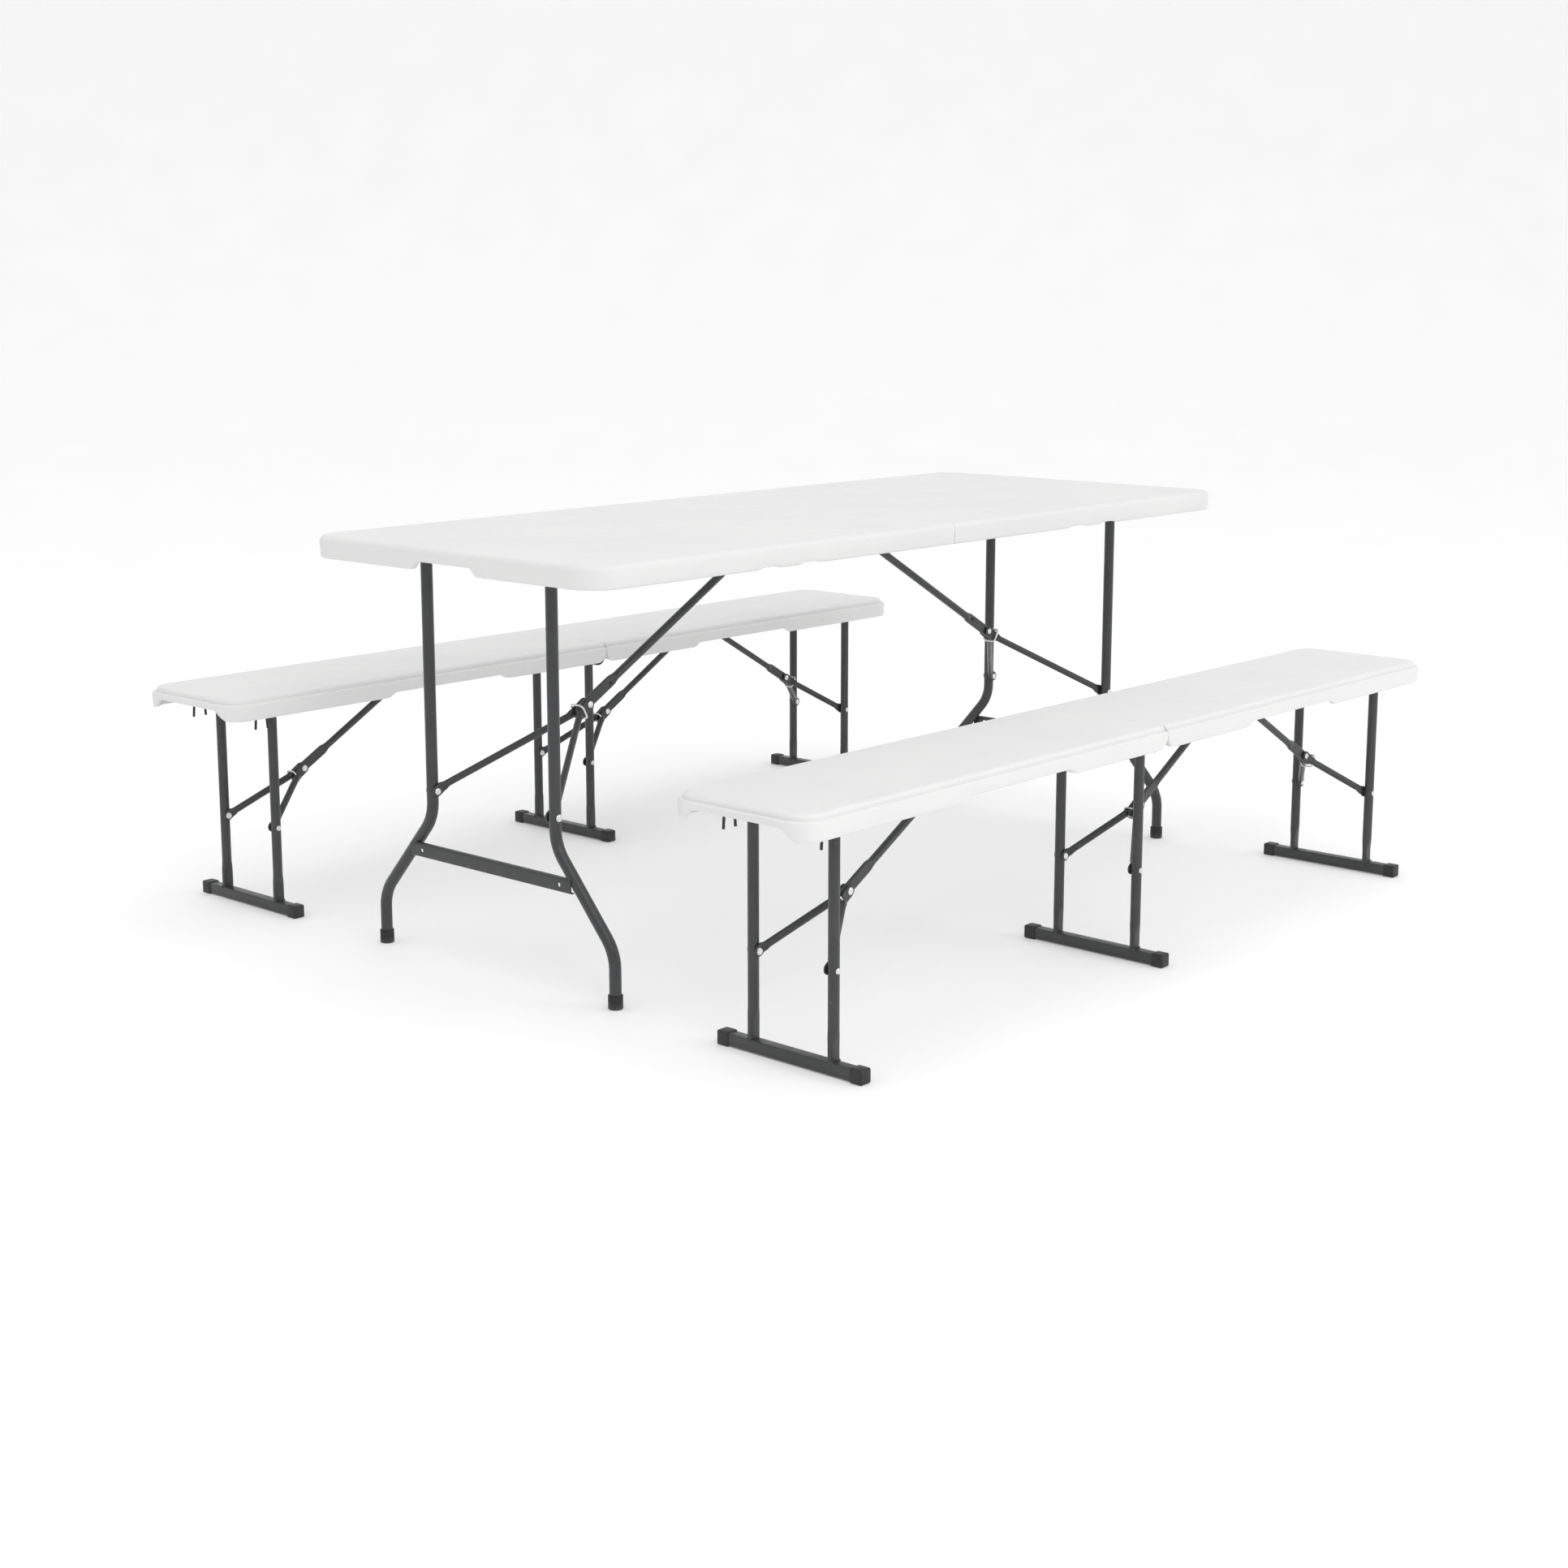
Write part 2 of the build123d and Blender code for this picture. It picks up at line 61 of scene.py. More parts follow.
# ---------------------------------------------------------------- materials

def new_material(name):
    material = bpy.data.materials.new(name)
    material.use_nodes = True
    tree = material.node_tree
    shader = tree.nodes["Principled BSDF"]
    coords = tree.nodes.new("ShaderNodeTexCoord")
    return material, tree, shader, coords.outputs["Object"]


def noise_node(tree, coords, scale, detail=3.0, rough=0.5, stretch=None):
    if stretch:
        mapping = tree.nodes.new("ShaderNodeMapping")
        mapping.inputs["Scale"].default_value = stretch
        tree.links.new(coords, mapping.inputs["Vector"])
        coords = mapping.outputs["Vector"]
    node = tree.nodes.new("ShaderNodeTexNoise")
    node.inputs["Scale"].default_value = scale
    node.inputs["Detail"].default_value = detail
    node.inputs["Roughness"].default_value = rough
    tree.links.new(coords, node.inputs["Vector"])
    return node.outputs["Fac"]


def ramp(tree, source, stops):
    node = tree.nodes.new("ShaderNodeValToRGB")
    low, high = node.color_ramp.elements
    (low.position, low_value), (high.position, high_value) = stops
    low.color = (*low_value, 1)
    high.color = (*high_value, 1)
    tree.links.new(source, node.inputs["Fac"])
    return node.outputs["Color"]


def spread(tree, source, low, high, out_low, out_high):
    node = tree.nodes.new("ShaderNodeMapRange")
    for label, value in (("From Min", low), ("From Max", high), ("To Min", out_low),
                         ("To Max", out_high)):
        node.inputs[label].default_value = value
    tree.links.new(source, node.inputs["Value"])
    return node.outputs["Result"]


def mix_colour(tree, factor, a, b):
    node = tree.nodes.new("ShaderNodeMix")
    node.data_type = "RGBA"
    tree.links.new(factor, node.inputs[0])
    for socket, value in ((node.inputs[6], a), (node.inputs[7], b)):
        if isinstance(value, tuple):
            socket.default_value = (*value, 1)
        else:
            tree.links.new(value, socket)
    return node.outputs[2]


def bumps(tree, shader, layers):
    """Stack bump layers, each a height source with its strength and depth in metres."""
    normal = None
    for height, strength, depth in layers:
        node = tree.nodes.new("ShaderNodeBump")
        node.inputs["Strength"].default_value = strength
        node.inputs["Distance"].default_value = depth
        tree.links.new(height, node.inputs["Height"])
        if normal:
            tree.links.new(normal, node.inputs["Normal"])
        normal = node.outputs["Normal"]
    tree.links.new(normal, shader.inputs["Normal"])


def white_plastic():
    """Blow-moulded polyethylene: a fine pebble grain, slight waviness and a few scuffs."""
    material, tree, shader, coords = new_material("white_plastic")
    cloudy = noise_node(tree, coords, 5.0, 4.0)
    tint = ramp(tree, cloudy, ((0.3, (0.725, 0.728, 0.725)), (0.7, (0.758, 0.758, 0.753))))
    scuffs = noise_node(tree, coords, 26.0, 6.0, 0.62, (0.35, 2.6, 1.0))
    marks = spread(tree, scuffs, 0.66, 0.74, 0.0, 0.45)
    colour = mix_colour(tree, marks, tint, (0.62, 0.62, 0.61))
    tree.links.new(colour, shader.inputs["Base Color"])
    gloss = noise_node(tree, coords, 34.0, 4.0)
    tree.links.new(spread(tree, gloss, 0.3, 0.7, 0.40, 0.52), shader.inputs["Roughness"])
    grain = noise_node(tree, coords, 620.0, 2.0)
    wave = noise_node(tree, coords, 9.0, 2.0)
    bumps(tree, shader, ((wave, 0.35, 0.0012), (grain, 0.28, 0.0004)))
    shader.inputs["Specular IOR Level"].default_value = 0.42
    shader.inputs["Subsurface Weight"].default_value = 0.06
    shader.inputs["Subsurface Radius"].default_value = (0.004, 0.004, 0.004)
    return material


def charcoal_steel():
    """Satin powder coat with orange peel and a few rubbed spots."""
    material, tree, shader, coords = new_material("charcoal_steel")
    cloudy = noise_node(tree, coords, 16.0, 4.0)
    tint = ramp(tree, cloudy, ((0.3, (0.028, 0.029, 0.031)), (0.7, (0.038, 0.039, 0.041))))
    rub = noise_node(tree, coords, 90.0, 5.0, 0.6)
    marks = spread(tree, rub, 0.70, 0.76, 0.0, 0.5)
    colour = mix_colour(tree, marks, tint, (0.17, 0.17, 0.17))
    tree.links.new(colour, shader.inputs["Base Color"])
    gloss = noise_node(tree, coords, 60.0, 3.0)
    tree.links.new(spread(tree, gloss, 0.3, 0.7, 0.30, 0.42), shader.inputs["Roughness"])
    peel = noise_node(tree, coords, 480.0, 2.0)
    dust = noise_node(tree, coords, 1500.0, 1.0)
    bumps(tree, shader, ((peel, 0.3, 0.0004), (dust, 0.12, 0.0001)))
    shader.inputs["Specular IOR Level"].default_value = 0.55
    return material


def zinc_steel():
    """Bright zinc plate: fine drawn lines and a slightly uneven shine."""
    material, tree, shader, coords = new_material("zinc_steel")
    cloudy = noise_node(tree, coords, 70.0, 4.0)
    tint = ramp(tree, cloudy, ((0.3, (0.66, 0.66, 0.65)), (0.7, (0.84, 0.84, 0.82))))
    tree.links.new(tint, shader.inputs["Base Color"])
    shader.inputs["Metallic"].default_value = 1.0
    lines = noise_node(tree, coords, 260.0, 3.0, 0.6, (1.0, 1.0, 8.0))
    tree.links.new(spread(tree, lines, 0.3, 0.7, 0.22, 0.40), shader.inputs["Roughness"])
    bumps(tree, shader, ((lines, 0.15, 0.0002),))
    return material


def black_plastic():
    """Moulded black nylon: fine spark texture, greyer where it has been rubbed."""
    material, tree, shader, coords = new_material("black_plastic")
    cloudy = noise_node(tree, coords, 45.0, 4.0)
    tint = ramp(tree, cloudy, ((0.35, (0.010, 0.010, 0.011)), (0.75, (0.024, 0.024, 0.025))))
    tree.links.new(tint, shader.inputs["Base Color"])
    gloss = noise_node(tree, coords, 120.0, 3.0)
    tree.links.new(spread(tree, gloss, 0.3, 0.7, 0.38, 0.55), shader.inputs["Roughness"])
    grain = noise_node(tree, coords, 1300.0, 2.0)
    bumps(tree, shader, ((grain, 0.3, 0.0002),))
    return material


def black_rubber():
    """Matt rubber, dusty towards the ground."""
    material, tree, shader, coords = new_material("black_rubber")
    parts = tree.nodes.new("ShaderNodeSeparateXYZ")
    tree.links.new(coords, parts.inputs["Vector"])
    low = spread(tree, parts.outputs["Z"], 0.0, 0.012, 1.0, 0.0)
    speck = noise_node(tree, coords, 160.0, 5.0, 0.6)
    product = tree.nodes.new("ShaderNodeMath")
    product.operation = "MULTIPLY"
    tree.links.new(low, product.inputs[0])
    tree.links.new(speck, product.inputs[1])
    colour = mix_colour(tree, product.outputs[0], (0.012, 0.012, 0.012), (0.11, 0.105, 0.10))
    tree.links.new(colour, shader.inputs["Base Color"])
    gloss = noise_node(tree, coords, 90.0, 3.0)
    tree.links.new(spread(tree, gloss, 0.3, 0.7, 0.55, 0.75), shader.inputs["Roughness"])
    grain = noise_node(tree, coords, 900.0, 2.0)
    bumps(tree, shader, ((grain, 0.35, 0.0003),))
    return material


MATERIALS = {
    "white_plastic": white_plastic(),
    "charcoal_steel": charcoal_steel(),
    "zinc_steel": zinc_steel(),
    "black_plastic": black_plastic(),
    "black_rubber": black_rubber(),
}


# ---------------------------------------------------------------- mesh helpers

class Shell:
    """Vertices and faces gathered in millimetres."""

    def __init__(self):
        self.points = []
        self.faces = []

    def add(self, points, faces):
        first = len(self.points)
        self.points += [Vector(p) for p in points]
        self.faces += [[first + i for i in face] for face in faces]

    def rings(self, rings, closed=False):
        """Join rings with an equal number of points. The first and last rings are filled,
        or joined to each other when closed."""
        count = len(rings[0])
        points = [p for ring in rings for p in ring]
        faces = []
        last = len(rings) if closed else len(rings) - 1
        for i in range(last):
            j = (i + 1) % len(rings)
            for k in range(count):
                n = (k + 1) % count
                faces.append([i * count + k, i * count + n, j * count + n, j * count + k])
        if not closed:
            faces.append(list(range(count))[::-1])
            faces.append([(len(rings) - 1) * count + k for k in range(count)])
        self.add(points, faces)


def make_object(name, shell, place, slot_name, body, nodes=(), crease=SOFT_CREASE):
    """A mesh piece that rides on its body and stands in for the CAD nodes named. place
    maps the shell's points into the scene."""
    mesh = bpy.data.meshes.new(name)
    mesh.from_pydata([place(p) for p in shell.points], [], shell.faces)
    work = bmesh.new()
    work.from_mesh(mesh)
    bmesh.ops.recalc_face_normals(work, faces=work.faces)
    for face in work.faces:
        face.smooth = True
    for edge in work.edges:
        if len(edge.link_faces) == 2:
            edge.smooth = edge.calc_face_angle() < math.radians(crease)
    work.to_mesh(mesh)
    work.free()
    mesh.materials.append(MATERIALS[slot_name])
    piece = bpy.data.objects.new(name, mesh)
    bpy.context.scene.collection.objects.link(piece)
    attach(piece, body)
    if nodes:
        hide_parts(*nodes)
    return piece


def section(centre, a, b, power=2.0, sides=28):
    """One ring round a centre, with half axes a and b; a high power makes it squarer."""
    ring = []
    for k in range(sides):
        t = 2 * math.pi * k / sides
        c, s = math.cos(t), math.sin(t)
        ring.append(centre + a * math.copysign(abs(c) ** (2 / power), c)
                    + b * math.copysign(abs(s) ** (2 / power), s))
    return ring


def rounded_path(points, bend, steps=9):
    """Points along a polyline with its corners turned into arcs of radius bend, or less
    where a leg of the polyline is too short."""
    points = [Vector(p) for p in points]
    path = [points[0]]
    for before, corner, after in zip(points, points[1:], points[2:]):
        a, b = (before - corner).normalized(), (after - corner).normalized()
        half = a.angle(b) / 2
        reach = min(bend / math.tan(half), 0.48 * (before - corner).length,
                    0.48 * (after - corner).length)
        radius = reach * math.tan(half)
        centre = corner + (a + b).normalized() * (radius / math.sin(half))
        start, end = corner + a * reach - centre, corner + b * reach - centre
        turn = start.angle(end)
        for k in range(steps + 1):
            t = k / steps
            path.append(centre + (start * math.sin((1 - t) * turn) + end * math.sin(t * turn))
                        / math.sin(turn))
    path.append(points[-1])
    return path


def tangents(path):
    """Unit headings at each point of a path."""
    out = []
    for i in range(len(path)):
        before = path[max(i - 1, 0)]
        after = path[min(i + 1, len(path) - 1)]
        out.append((after - before).normalized())
    return out


BORE_DEPTH = 16.0


def add_tube(shell, points, radius, normal, bend=None, wall=None, sides=28):
    """A round tube along a flat path; normal is square to the path's plane. With a wall
    its ends are open, with a softened lip, down to BORE_DEPTH."""
    path = rounded_path(points, bend) if bend else [Vector(p) for p in points]
    normal = Vector(normal)
    rings = [section(p, normal * radius, normal.cross(t) * radius, 2.0, sides)
             for p, t in zip(path, tangents(path))]
    if wall:
        for index, way in ((0, 1), (-1, -1)):
            heading = tangents(path)[index] * way
            centre = path[index]
            side = normal.cross(tangents(path)[index])
            mouth = [section(centre + heading * depth, normal * r, side * r, 2.0, sides)
                     for depth, r in ((0.0, radius - 0.3), (0.0, radius - wall),
                                      (BORE_DEPTH, radius - wall))]
            rings[index] = section(centre + heading * 0.3, normal * radius, side * radius,
                                   2.0, sides)
            rings = mouth[::-1] + rings if index == 0 else rings + mouth
    shell.rings(rings)


def add_lathe(shell, profile, origin, axis, sides=32):
    """A turned shape: profile is (radius, height) along the axis from the origin."""
    axis = Vector(axis).normalized()
    a = axis.orthogonal().normalized()
    b = axis.cross(a)
    rings = [section(Vector(origin) + axis * h, a * r, b * r, 2.0, sides)
             for r, h in profile]
    shell.rings(rings)


def rivet_profile(radius, height):
    """A low dome with a flared skirt and a small dimple in the middle."""
    return [(radius, 0.0), (radius, 0.25 * height), (0.93 * radius, 0.5 * height),
            (0.76 * radius, 0.78 * height), (0.55 * radius, 0.95 * height),
            (0.42 * radius, height), (0.34 * radius, 0.97 * height),
            (0.25 * radius, 0.72 * height), (0.1 * radius, 0.62 * height)]


def add_box(shell, low, high, radius, steps=3):
    """A box with rounded edges."""
    work = bmesh.new()
    bmesh.ops.create_cube(work, size=1.0)
    low, high = Vector(low), Vector(high)
    for vertex in work.verts:
        vertex.co = Vector(high[i] if vertex.co[i] > 0 else low[i] for i in range(3))
    bmesh.ops.bevel(work, geom=work.edges[:], offset=radius, segments=steps, profile=0.5,
                    affect="EDGES")
    work.verts.ensure_lookup_table()
    shell.add([v.co.copy() for v in work.verts],
              [[v.index for v in f.verts] for f in work.faces])
    work.free()


SHEET_BEND = 2.4


def add_channel(shell, corners, half):
    """Folded sheet 2 mm thick: its middle line in XZ has rounded corners, and it runs
    along Y from -half to half."""
    path = rounded_path([(x, 0, z) for x, z in corners], SHEET_BEND, 4)
    outer, inner = [], []
    for p, t in zip(path, tangents(path)):
        out = Vector((-t.z, 0, t.x))
        outer.append(p + out)
        inner.append(p - out)
    outline = outer + inner[::-1]
    shell.rings([[p + Vector((0, y, 0)) for p in outline] for y in (-half, half)])


def add_saddle(shell, centre, spans, bore, reach, chamfer=1.2, power=7.0, sides=48):
    """A block round a bore that runs along Y. spans is how far it goes left, right, down
    and up from the bore's centre, and reach its (low, high) along Y."""
    left, right, down, up = spans
    x, z = centre
    low, high = reach

    def ring(y, inset, inner):
        points = []
        for k in range(sides):
            t = 2 * math.pi * k / sides
            c, s = math.cos(t), math.sin(t)
            a = right if c > 0 else left
            b = up if s > 0 else down
            r = 1 / ((abs(c) / a) ** power + (abs(s) / b) ** power) ** (1 / power) - inset
            if inner:
                r = bore + inset
            points.append(Vector((x + r * c, y, z + r * s)))
        return points

    shell.rings([ring(low + chamfer / 2, 0, True), ring(low, chamfer / 2, True),
                 ring(low, chamfer, False), ring(low + chamfer, 0, False),
                 ring(high - chamfer, 0, False), ring(high, chamfer, False),
                 ring(high, chamfer / 2, True), ring(high - chamfer / 2, 0, True)],
                closed=True)


def carve(piece, holes):
    """Cut round holes out of a finished piece. Each is (centre, axis, radius, length), in
    millimetres and centred on its middle."""
    for centre, axis, radius, length in holes:
        tool_shell = Shell()
        add_lathe(tool_shell, [(radius, -length / 2), (radius, length / 2)], centre, axis, 24)
        mesh = bpy.data.meshes.new("tool")
        mesh.from_pydata([p * MM for p in tool_shell.points], [], tool_shell.faces)
        tool = bpy.data.objects.new("tool", mesh)
        bpy.context.scene.collection.objects.link(tool)
        modifier = piece.modifiers.new("hole", "BOOLEAN")
        modifier.object = tool
        modifier.operation = "DIFFERENCE"
        bpy.context.view_layer.update()
        graph = bpy.context.evaluated_depsgraph_get()
        result = bpy.data.meshes.new_from_object(piece.evaluated_get(graph))
        piece.modifiers.clear()
        piece.data = result
        bpy.data.objects.remove(tool)


def smooth_step(x, low, high):
    """0 below low, 1 above high and an S-curve between."""
    t = min(1.0, max(0.0, (x - low) / (high - low)))
    return t * t * (3 - 2 * t)


def in_metres(p):
    return Vector(p) * MM


# ---------------------------------------------------------------- moulded tops

EDGE_STEP = 7.5
END_STEP = 5.0
CEILING_STEP = 7.0
CORNER_STEPS = 10
CORNER_TURN = 90 // CORNER_STEPS
RIM_STEP_RUN = 9.0
ROW_PITCH = 0.866


class Moulding:
    """One half of a moulded top, from the seam outwards along X.

    half_length is the x of its end and width is its whole size along Y. top, skin and
    base are the heights of its face, of the ceiling inside and of the rim. The outline
    runs along -Y, round the end, back along +Y and down the seam.

    recess is the shallower rim across the end, as (half width, rise, run of each ramp).
    steps are the shallower parts of the sides, as (low x, high x, rise). seam_round is
    the radius of the lower corners beside the seam, and window half the width of the gap
    in the rim there."""

    def __init__(self, seam, half_length, width, corner, top, skin, base):
        self.seam, self.half_length, self.width, self.corner = seam, half_length, width, corner
        self.top, self.skin, self.base = top, skin, base
        self.recess = (0.0, 0.0, 1.0)
        self.steps = []
        self.seam_round = 0.0
        self.window = 0.0
        self.edge_x = self.samples(seam, half_length - corner, EDGE_STEP)
        self.end_y = self.samples(-(width / 2 - corner), width / 2 - corner, END_STEP)
        self.seam_y = self.samples(-width / 2, width / 2, EDGE_STEP)

    @staticmethod
    def samples(low, high, step):
        count = max(2, round((high - low) / step))
        return [low + (high - low) * k / count for k in range(count + 1)]

    def rim_rise(self, x, y, edge):
        """How far the rim is raised at this place on the outline."""
        rise = 0.0
        if edge == "end":
            half, amount, run = self.recess
            rise = amount * (1 - smooth_step(abs(y), half, half + run))
        if edge == "side":
            for low, high, amount in self.steps:
                begun = smooth_step(x, low - RIM_STEP_RUN, low + RIM_STEP_RUN)
                ended = smooth_step(x, high - RIM_STEP_RUN, high + RIM_STEP_RUN)
                rise = max(rise, amount * begun * (1 - ended))
        return rise

    def round_off(self, x):
        """Rise of the rim in the rounded lower corner beside the seam."""
        r = self.seam_round
        run = x - self.seam
        if not r or run >= r:
            return 0.0
        return r - math.sqrt(max(0.0, r * r - (r - run) ** 2))

    def outline(self, d, z, seam_d, seam_z, pivot, seam_pivot):
        """Points of one ring, d inside the outline at height z; seam_d and seam_z are the
        same along the seam. Points below pivot (seam_pivot at the seam) are squeezed up
        where the rim is raised."""
        radius = max(self.corner - d, 2.0)
        x0, x1 = self.seam + seam_d, self.half_length - d - radius
        y1 = self.width / 2 - d
        inner_y = y1 - radius
        flat_half = self.width / 2 - self.corner
        places = []
        for x in self.edge_x:
            t = (x - self.edge_x[0]) / (self.edge_x[-1] - self.edge_x[0])
            places.append((x0 + (x1 - x0) * t, -y1, "side", x, 0))
        for k in range(1, CORNER_STEPS + 1):
            a = math.radians(-90 + CORNER_TURN * k)
            places.append((x1 + radius * math.cos(a), -inner_y + radius * math.sin(a),
                           "end", 0, -flat_half + self.corner * math.sin(a)))
        for y in self.end_y[1:-1]:
            t = y / self.end_y[-1]
            places.append((x1 + radius, inner_y * t, "end", 0, y))
        for k in range(CORNER_STEPS + 1):
            a = math.radians(CORNER_TURN * k)
            places.append((x1 + radius * math.cos(a), inner_y + radius * math.sin(a),
                           "end", 0, flat_half + self.corner * math.sin(a)))
        for x in self.edge_x[-2::-1]:
            t = (x - self.edge_x[0]) / (self.edge_x[-1] - self.edge_x[0])
            places.append((x0 + (x1 - x0) * t, y1, "side", x, 0))
        for y in self.seam_y[-2:0:-1]:
            t = y / self.seam_y[-1]
            places.append((x0, y1 * t, "seam", 0, y))
        ring = []
        for x, y, edge, rest_x, rest_y in places:
            if edge == "seam":
                height, top, rise = seam_z, seam_pivot, self.round_off(x)
                if abs(rest_y) < self.window:
                    rise = self.skin - self.base
            else:
                height, top = z, pivot
                rise = max(self.rim_rise(rest_x, rest_y, edge), self.round_off(x))
            if height < top:
                full = top - self.base
                height = top - (top - height) * max(0.0, full - rise) / full
            ring.append(Vector((x, y, height)))
        return ring

    def pit(self, x, y, pitch, radius, depth):
        """Height of the moulded dimples that tie the two walls together."""
        row = round(y / (pitch * ROW_PITCH))
        shift = 0.5 * pitch * (row % 2)
        column = round((x - shift) / pitch)
        away = math.hypot(x - column * pitch - shift, y - row * pitch * ROW_PITCH)
        return depth * (1 - smooth_step(away, radius * 0.35, radius))

    def build(self, profile, pivot, seam_pivot, dimple):
        """Rings down the profile, each (d, z, seam_d, seam_z), and then inwards across the
        ceiling. dimple is (pitch, radius, depth)."""
        rings = [self.outline(d, z, sd, sz, pivot, seam_pivot) for d, z, sd, sz in profile]
        inset = profile[-1][0]
        deepest = self.width / 2 - 12.0
        while inset + CEILING_STEP < deepest:
            inset += CEILING_STEP
            ring = self.outline(inset, self.skin, inset, self.skin, self.base, self.base)
            for point in ring:
                point.z += self.pit(point.x, point.y, *dimple)
            rings.append(ring)
        shell = Shell()
        shell.rings(rings)
        return shell


def arc(centre_d, centre_z, radius, steps=6):
    """Quarter round from the flat top down to the side."""
    return [(centre_d - radius * math.sin(a), centre_z + radius * math.cos(a))
            for a in (math.pi / 2 * k / steps for k in range(steps + 1))]


def seam_lip(top, radius, count):
    """The small matching round at the seam, one point for each of the larger round."""
    return [(radius * (1 - math.sin(a)), top - radius * (1 - math.cos(a)))
            for a in (math.pi / 2 * k / (count - 1) for k in range(count))]


def table_top_shell(low, high):
    """low and high are the corners of the right half, in millimetres."""
    m = Moulding(low.x, high.x, high.y - low.y, 60.0, high.z, high.z - 6.0, low.z)
    m.recess = (66.0, 14.0, 18.0)
    m.steps = [(366.0, 412.0, 3.5), (470.0, 516.0, 3.5)]
    crown = arc(10.0, m.top - 10.0, 10.0)
    profile = [(17.0, m.top, 3.5, m.top), (12.0, m.top, 1.8, m.top)]
    for (d, z), (sd, sz) in zip(crown, seam_lip(m.top, 1.2, len(crown))):
        profile.append((d, z, sd, sz))
    for d, z in ((0.3, m.base + 20), (0.7, m.base + 4.5), (1.5, m.base + 1.2),
                 (3.2, m.base), (11.4, m.base), (13.2, m.base + 0.6), (14.1, m.base + 2.4),
                 (15.2, m.skin - 7), (16.6, m.skin - 2.2), (19.5, m.skin - 0.3),
                 (23.0, m.skin)):
        profile.append((d, z, d, z))
    return m.build(profile, m.top - 12.0, m.top - 3.0, (42.0, 13.0, 3.2))


def seat_shell(low, high):
    """low and high are the corners of the right half; a crease runs under its crown."""
    m = Moulding(low.x, high.x, high.y - low.y, 45.0, high.z, high.z - 5.0, low.z)
    m.recess = (84.0, 19.0, 36.0)
    m.steps = [(275.0, 566.0, 9.0)]
    m.seam_round = 22.0
    m.window = 118.0
    crown = arc(15.0, m.top - 7.0, 7.0)
    ledge = m.top - 9.0
    profile = [(24.0, m.top, 3.0, m.top), (17.0, m.top, 1.4, m.top)]
    for (d, z), (sd, sz) in zip(crown, seam_lip(m.top, 0.8, len(crown))):
        profile.append((d, z, sd, sz))
    crease = [(7.9, ledge + 0.6), (7.3, ledge - 0.35), (6.4, ledge - 0.1)]
    for k, (d, z) in enumerate(crease + arc(4.4, ledge - 4.4, 4.4)):
        profile.append((d, z, 0.0, m.top - 1.0 - 0.2 * k))
    for d, z in ((0.3, m.base + 18), (0.8, m.base + 4.5), (1.5, m.base + 1.3),
                 (3.2, m.base), (9.6, m.base), (11.2, m.base + 0.6), (12.1, m.base + 2.4),
                 (13.0, m.skin - 6), (14.2, m.skin - 2.0), (16.6, m.skin - 0.3),
                 (19.0, m.skin)):
        profile.append((d, z, d, z))
    return m.build(profile, m.top - 14.0, m.top - 4.6, (40.0, 12.0, 2.6))


def box_mm(node):
    """Low and high corners of a CAD node."""
    low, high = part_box(node)
    return low / MM, high / MM


def add_top(name, shell_of, prefix, y):
    """Both halves of a top, each from its own CAD node's box."""
    low, high = box_mm(f"{prefix}_right")
    shift = Vector((0, y, 0))
    shell = shell_of(low - shift, high - shift)
    for side, way in (("right", 1), ("left", -1)):
        make_object(f"{name}_{side}_moulding", shell,
                    lambda p, way=way: Vector((p.x * way, p.y + y, p.z)) * MM,
                    "white_plastic", f"{name}_{side}_half", (f"{prefix}_{side}",), MOULDED_CREASE)


# ---------------------------------------------------------------- leg frames

class Linkage:
    """Where one leg frame's pivots are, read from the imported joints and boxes.

    Its own frame has x measured from the leg's pivot towards the middle of the top, y from
    the top's middle line and z from the floor. way turns that x into the scene's."""

    def __init__(self, name):
        fold = JOINTS[f"{name}_leg_fold"]
        pivot = Vector(fold["pos_m"]) / MM
        self.name = name
        self.way = -fold["axis"][1]
        self.x, self.y, self.pivot_z = pivot
        self.rivet_z = JOINTS[f"{name}_arm_turn"]["pos_m"][2] / MM
        anchor = Vector(JOINTS[f"{name}_brace_turn"]["pos_m"]) / MM
        self.anchor = Vector(((anchor.x - self.x) * self.way, 0, anchor.z))

    def place(self, p):
        return Vector((self.x + self.way * p[0], self.y + p[1], p[2])) * MM

    def knee(self, tab):
        """Middle of the knee: the arms' box ends one tab radius past it."""
        low, high = box_mm(f"{self.name}_arms")
        far = high.x if self.way > 0 else low.x
        return Vector(((far - self.x) * self.way - tab, 0, high.z - tab))

    def piece(self, label, shell, slot_name, nodes=(), crease=SOFT_CREASE):
        body = f"{self.name}_{label.split('_')[0]}_body"
        return make_object(f"{self.name}_{label}", shell, self.place, slot_name, body,
                           nodes, crease)


def along(origin, heading):
    """Map (distance, y, height) along a line in the XZ plane into the frame."""
    up = Vector((-heading.z, 0, heading.x))
    return lambda s, y, h: origin + heading * s + Vector((0, y, 0)) + up * h


def flat_tab_end(radius, half_thick, y, towards, steps=6):
    """Stations of a rounded tab end, as (distance, y, half thickness, half width)."""
    stations = []
    for k in range(steps + 1):
        a = math.pi / 2 * k / steps
        c, s = math.cos(a), math.sin(a)
        stations.append((-towards * radius * c, y, half_thick * (0.55 + 0.45 * s),
                         max(0.6, radius * s)))
    return stations


def strip_rings(to_frame, stations, sides=28):
    """Rings across a bar, squarer where it has been pressed flat."""
    rings = []
    for s, y, thick, wide in stations:
        flatness = min(1.0, abs(wide / thick - 1.0) / 1.2) if wide > thick else 0.0
        power = 2.0 + 3.0 * flatness
        centre = to_frame(s, y, 0)
        a = to_frame(s, y + thick, 0) - centre
        b = to_frame(s, y, wide) - centre
        rings.append(section(centre, a, b, power, sides))
    return rings


ARM_FLARE = 13.0


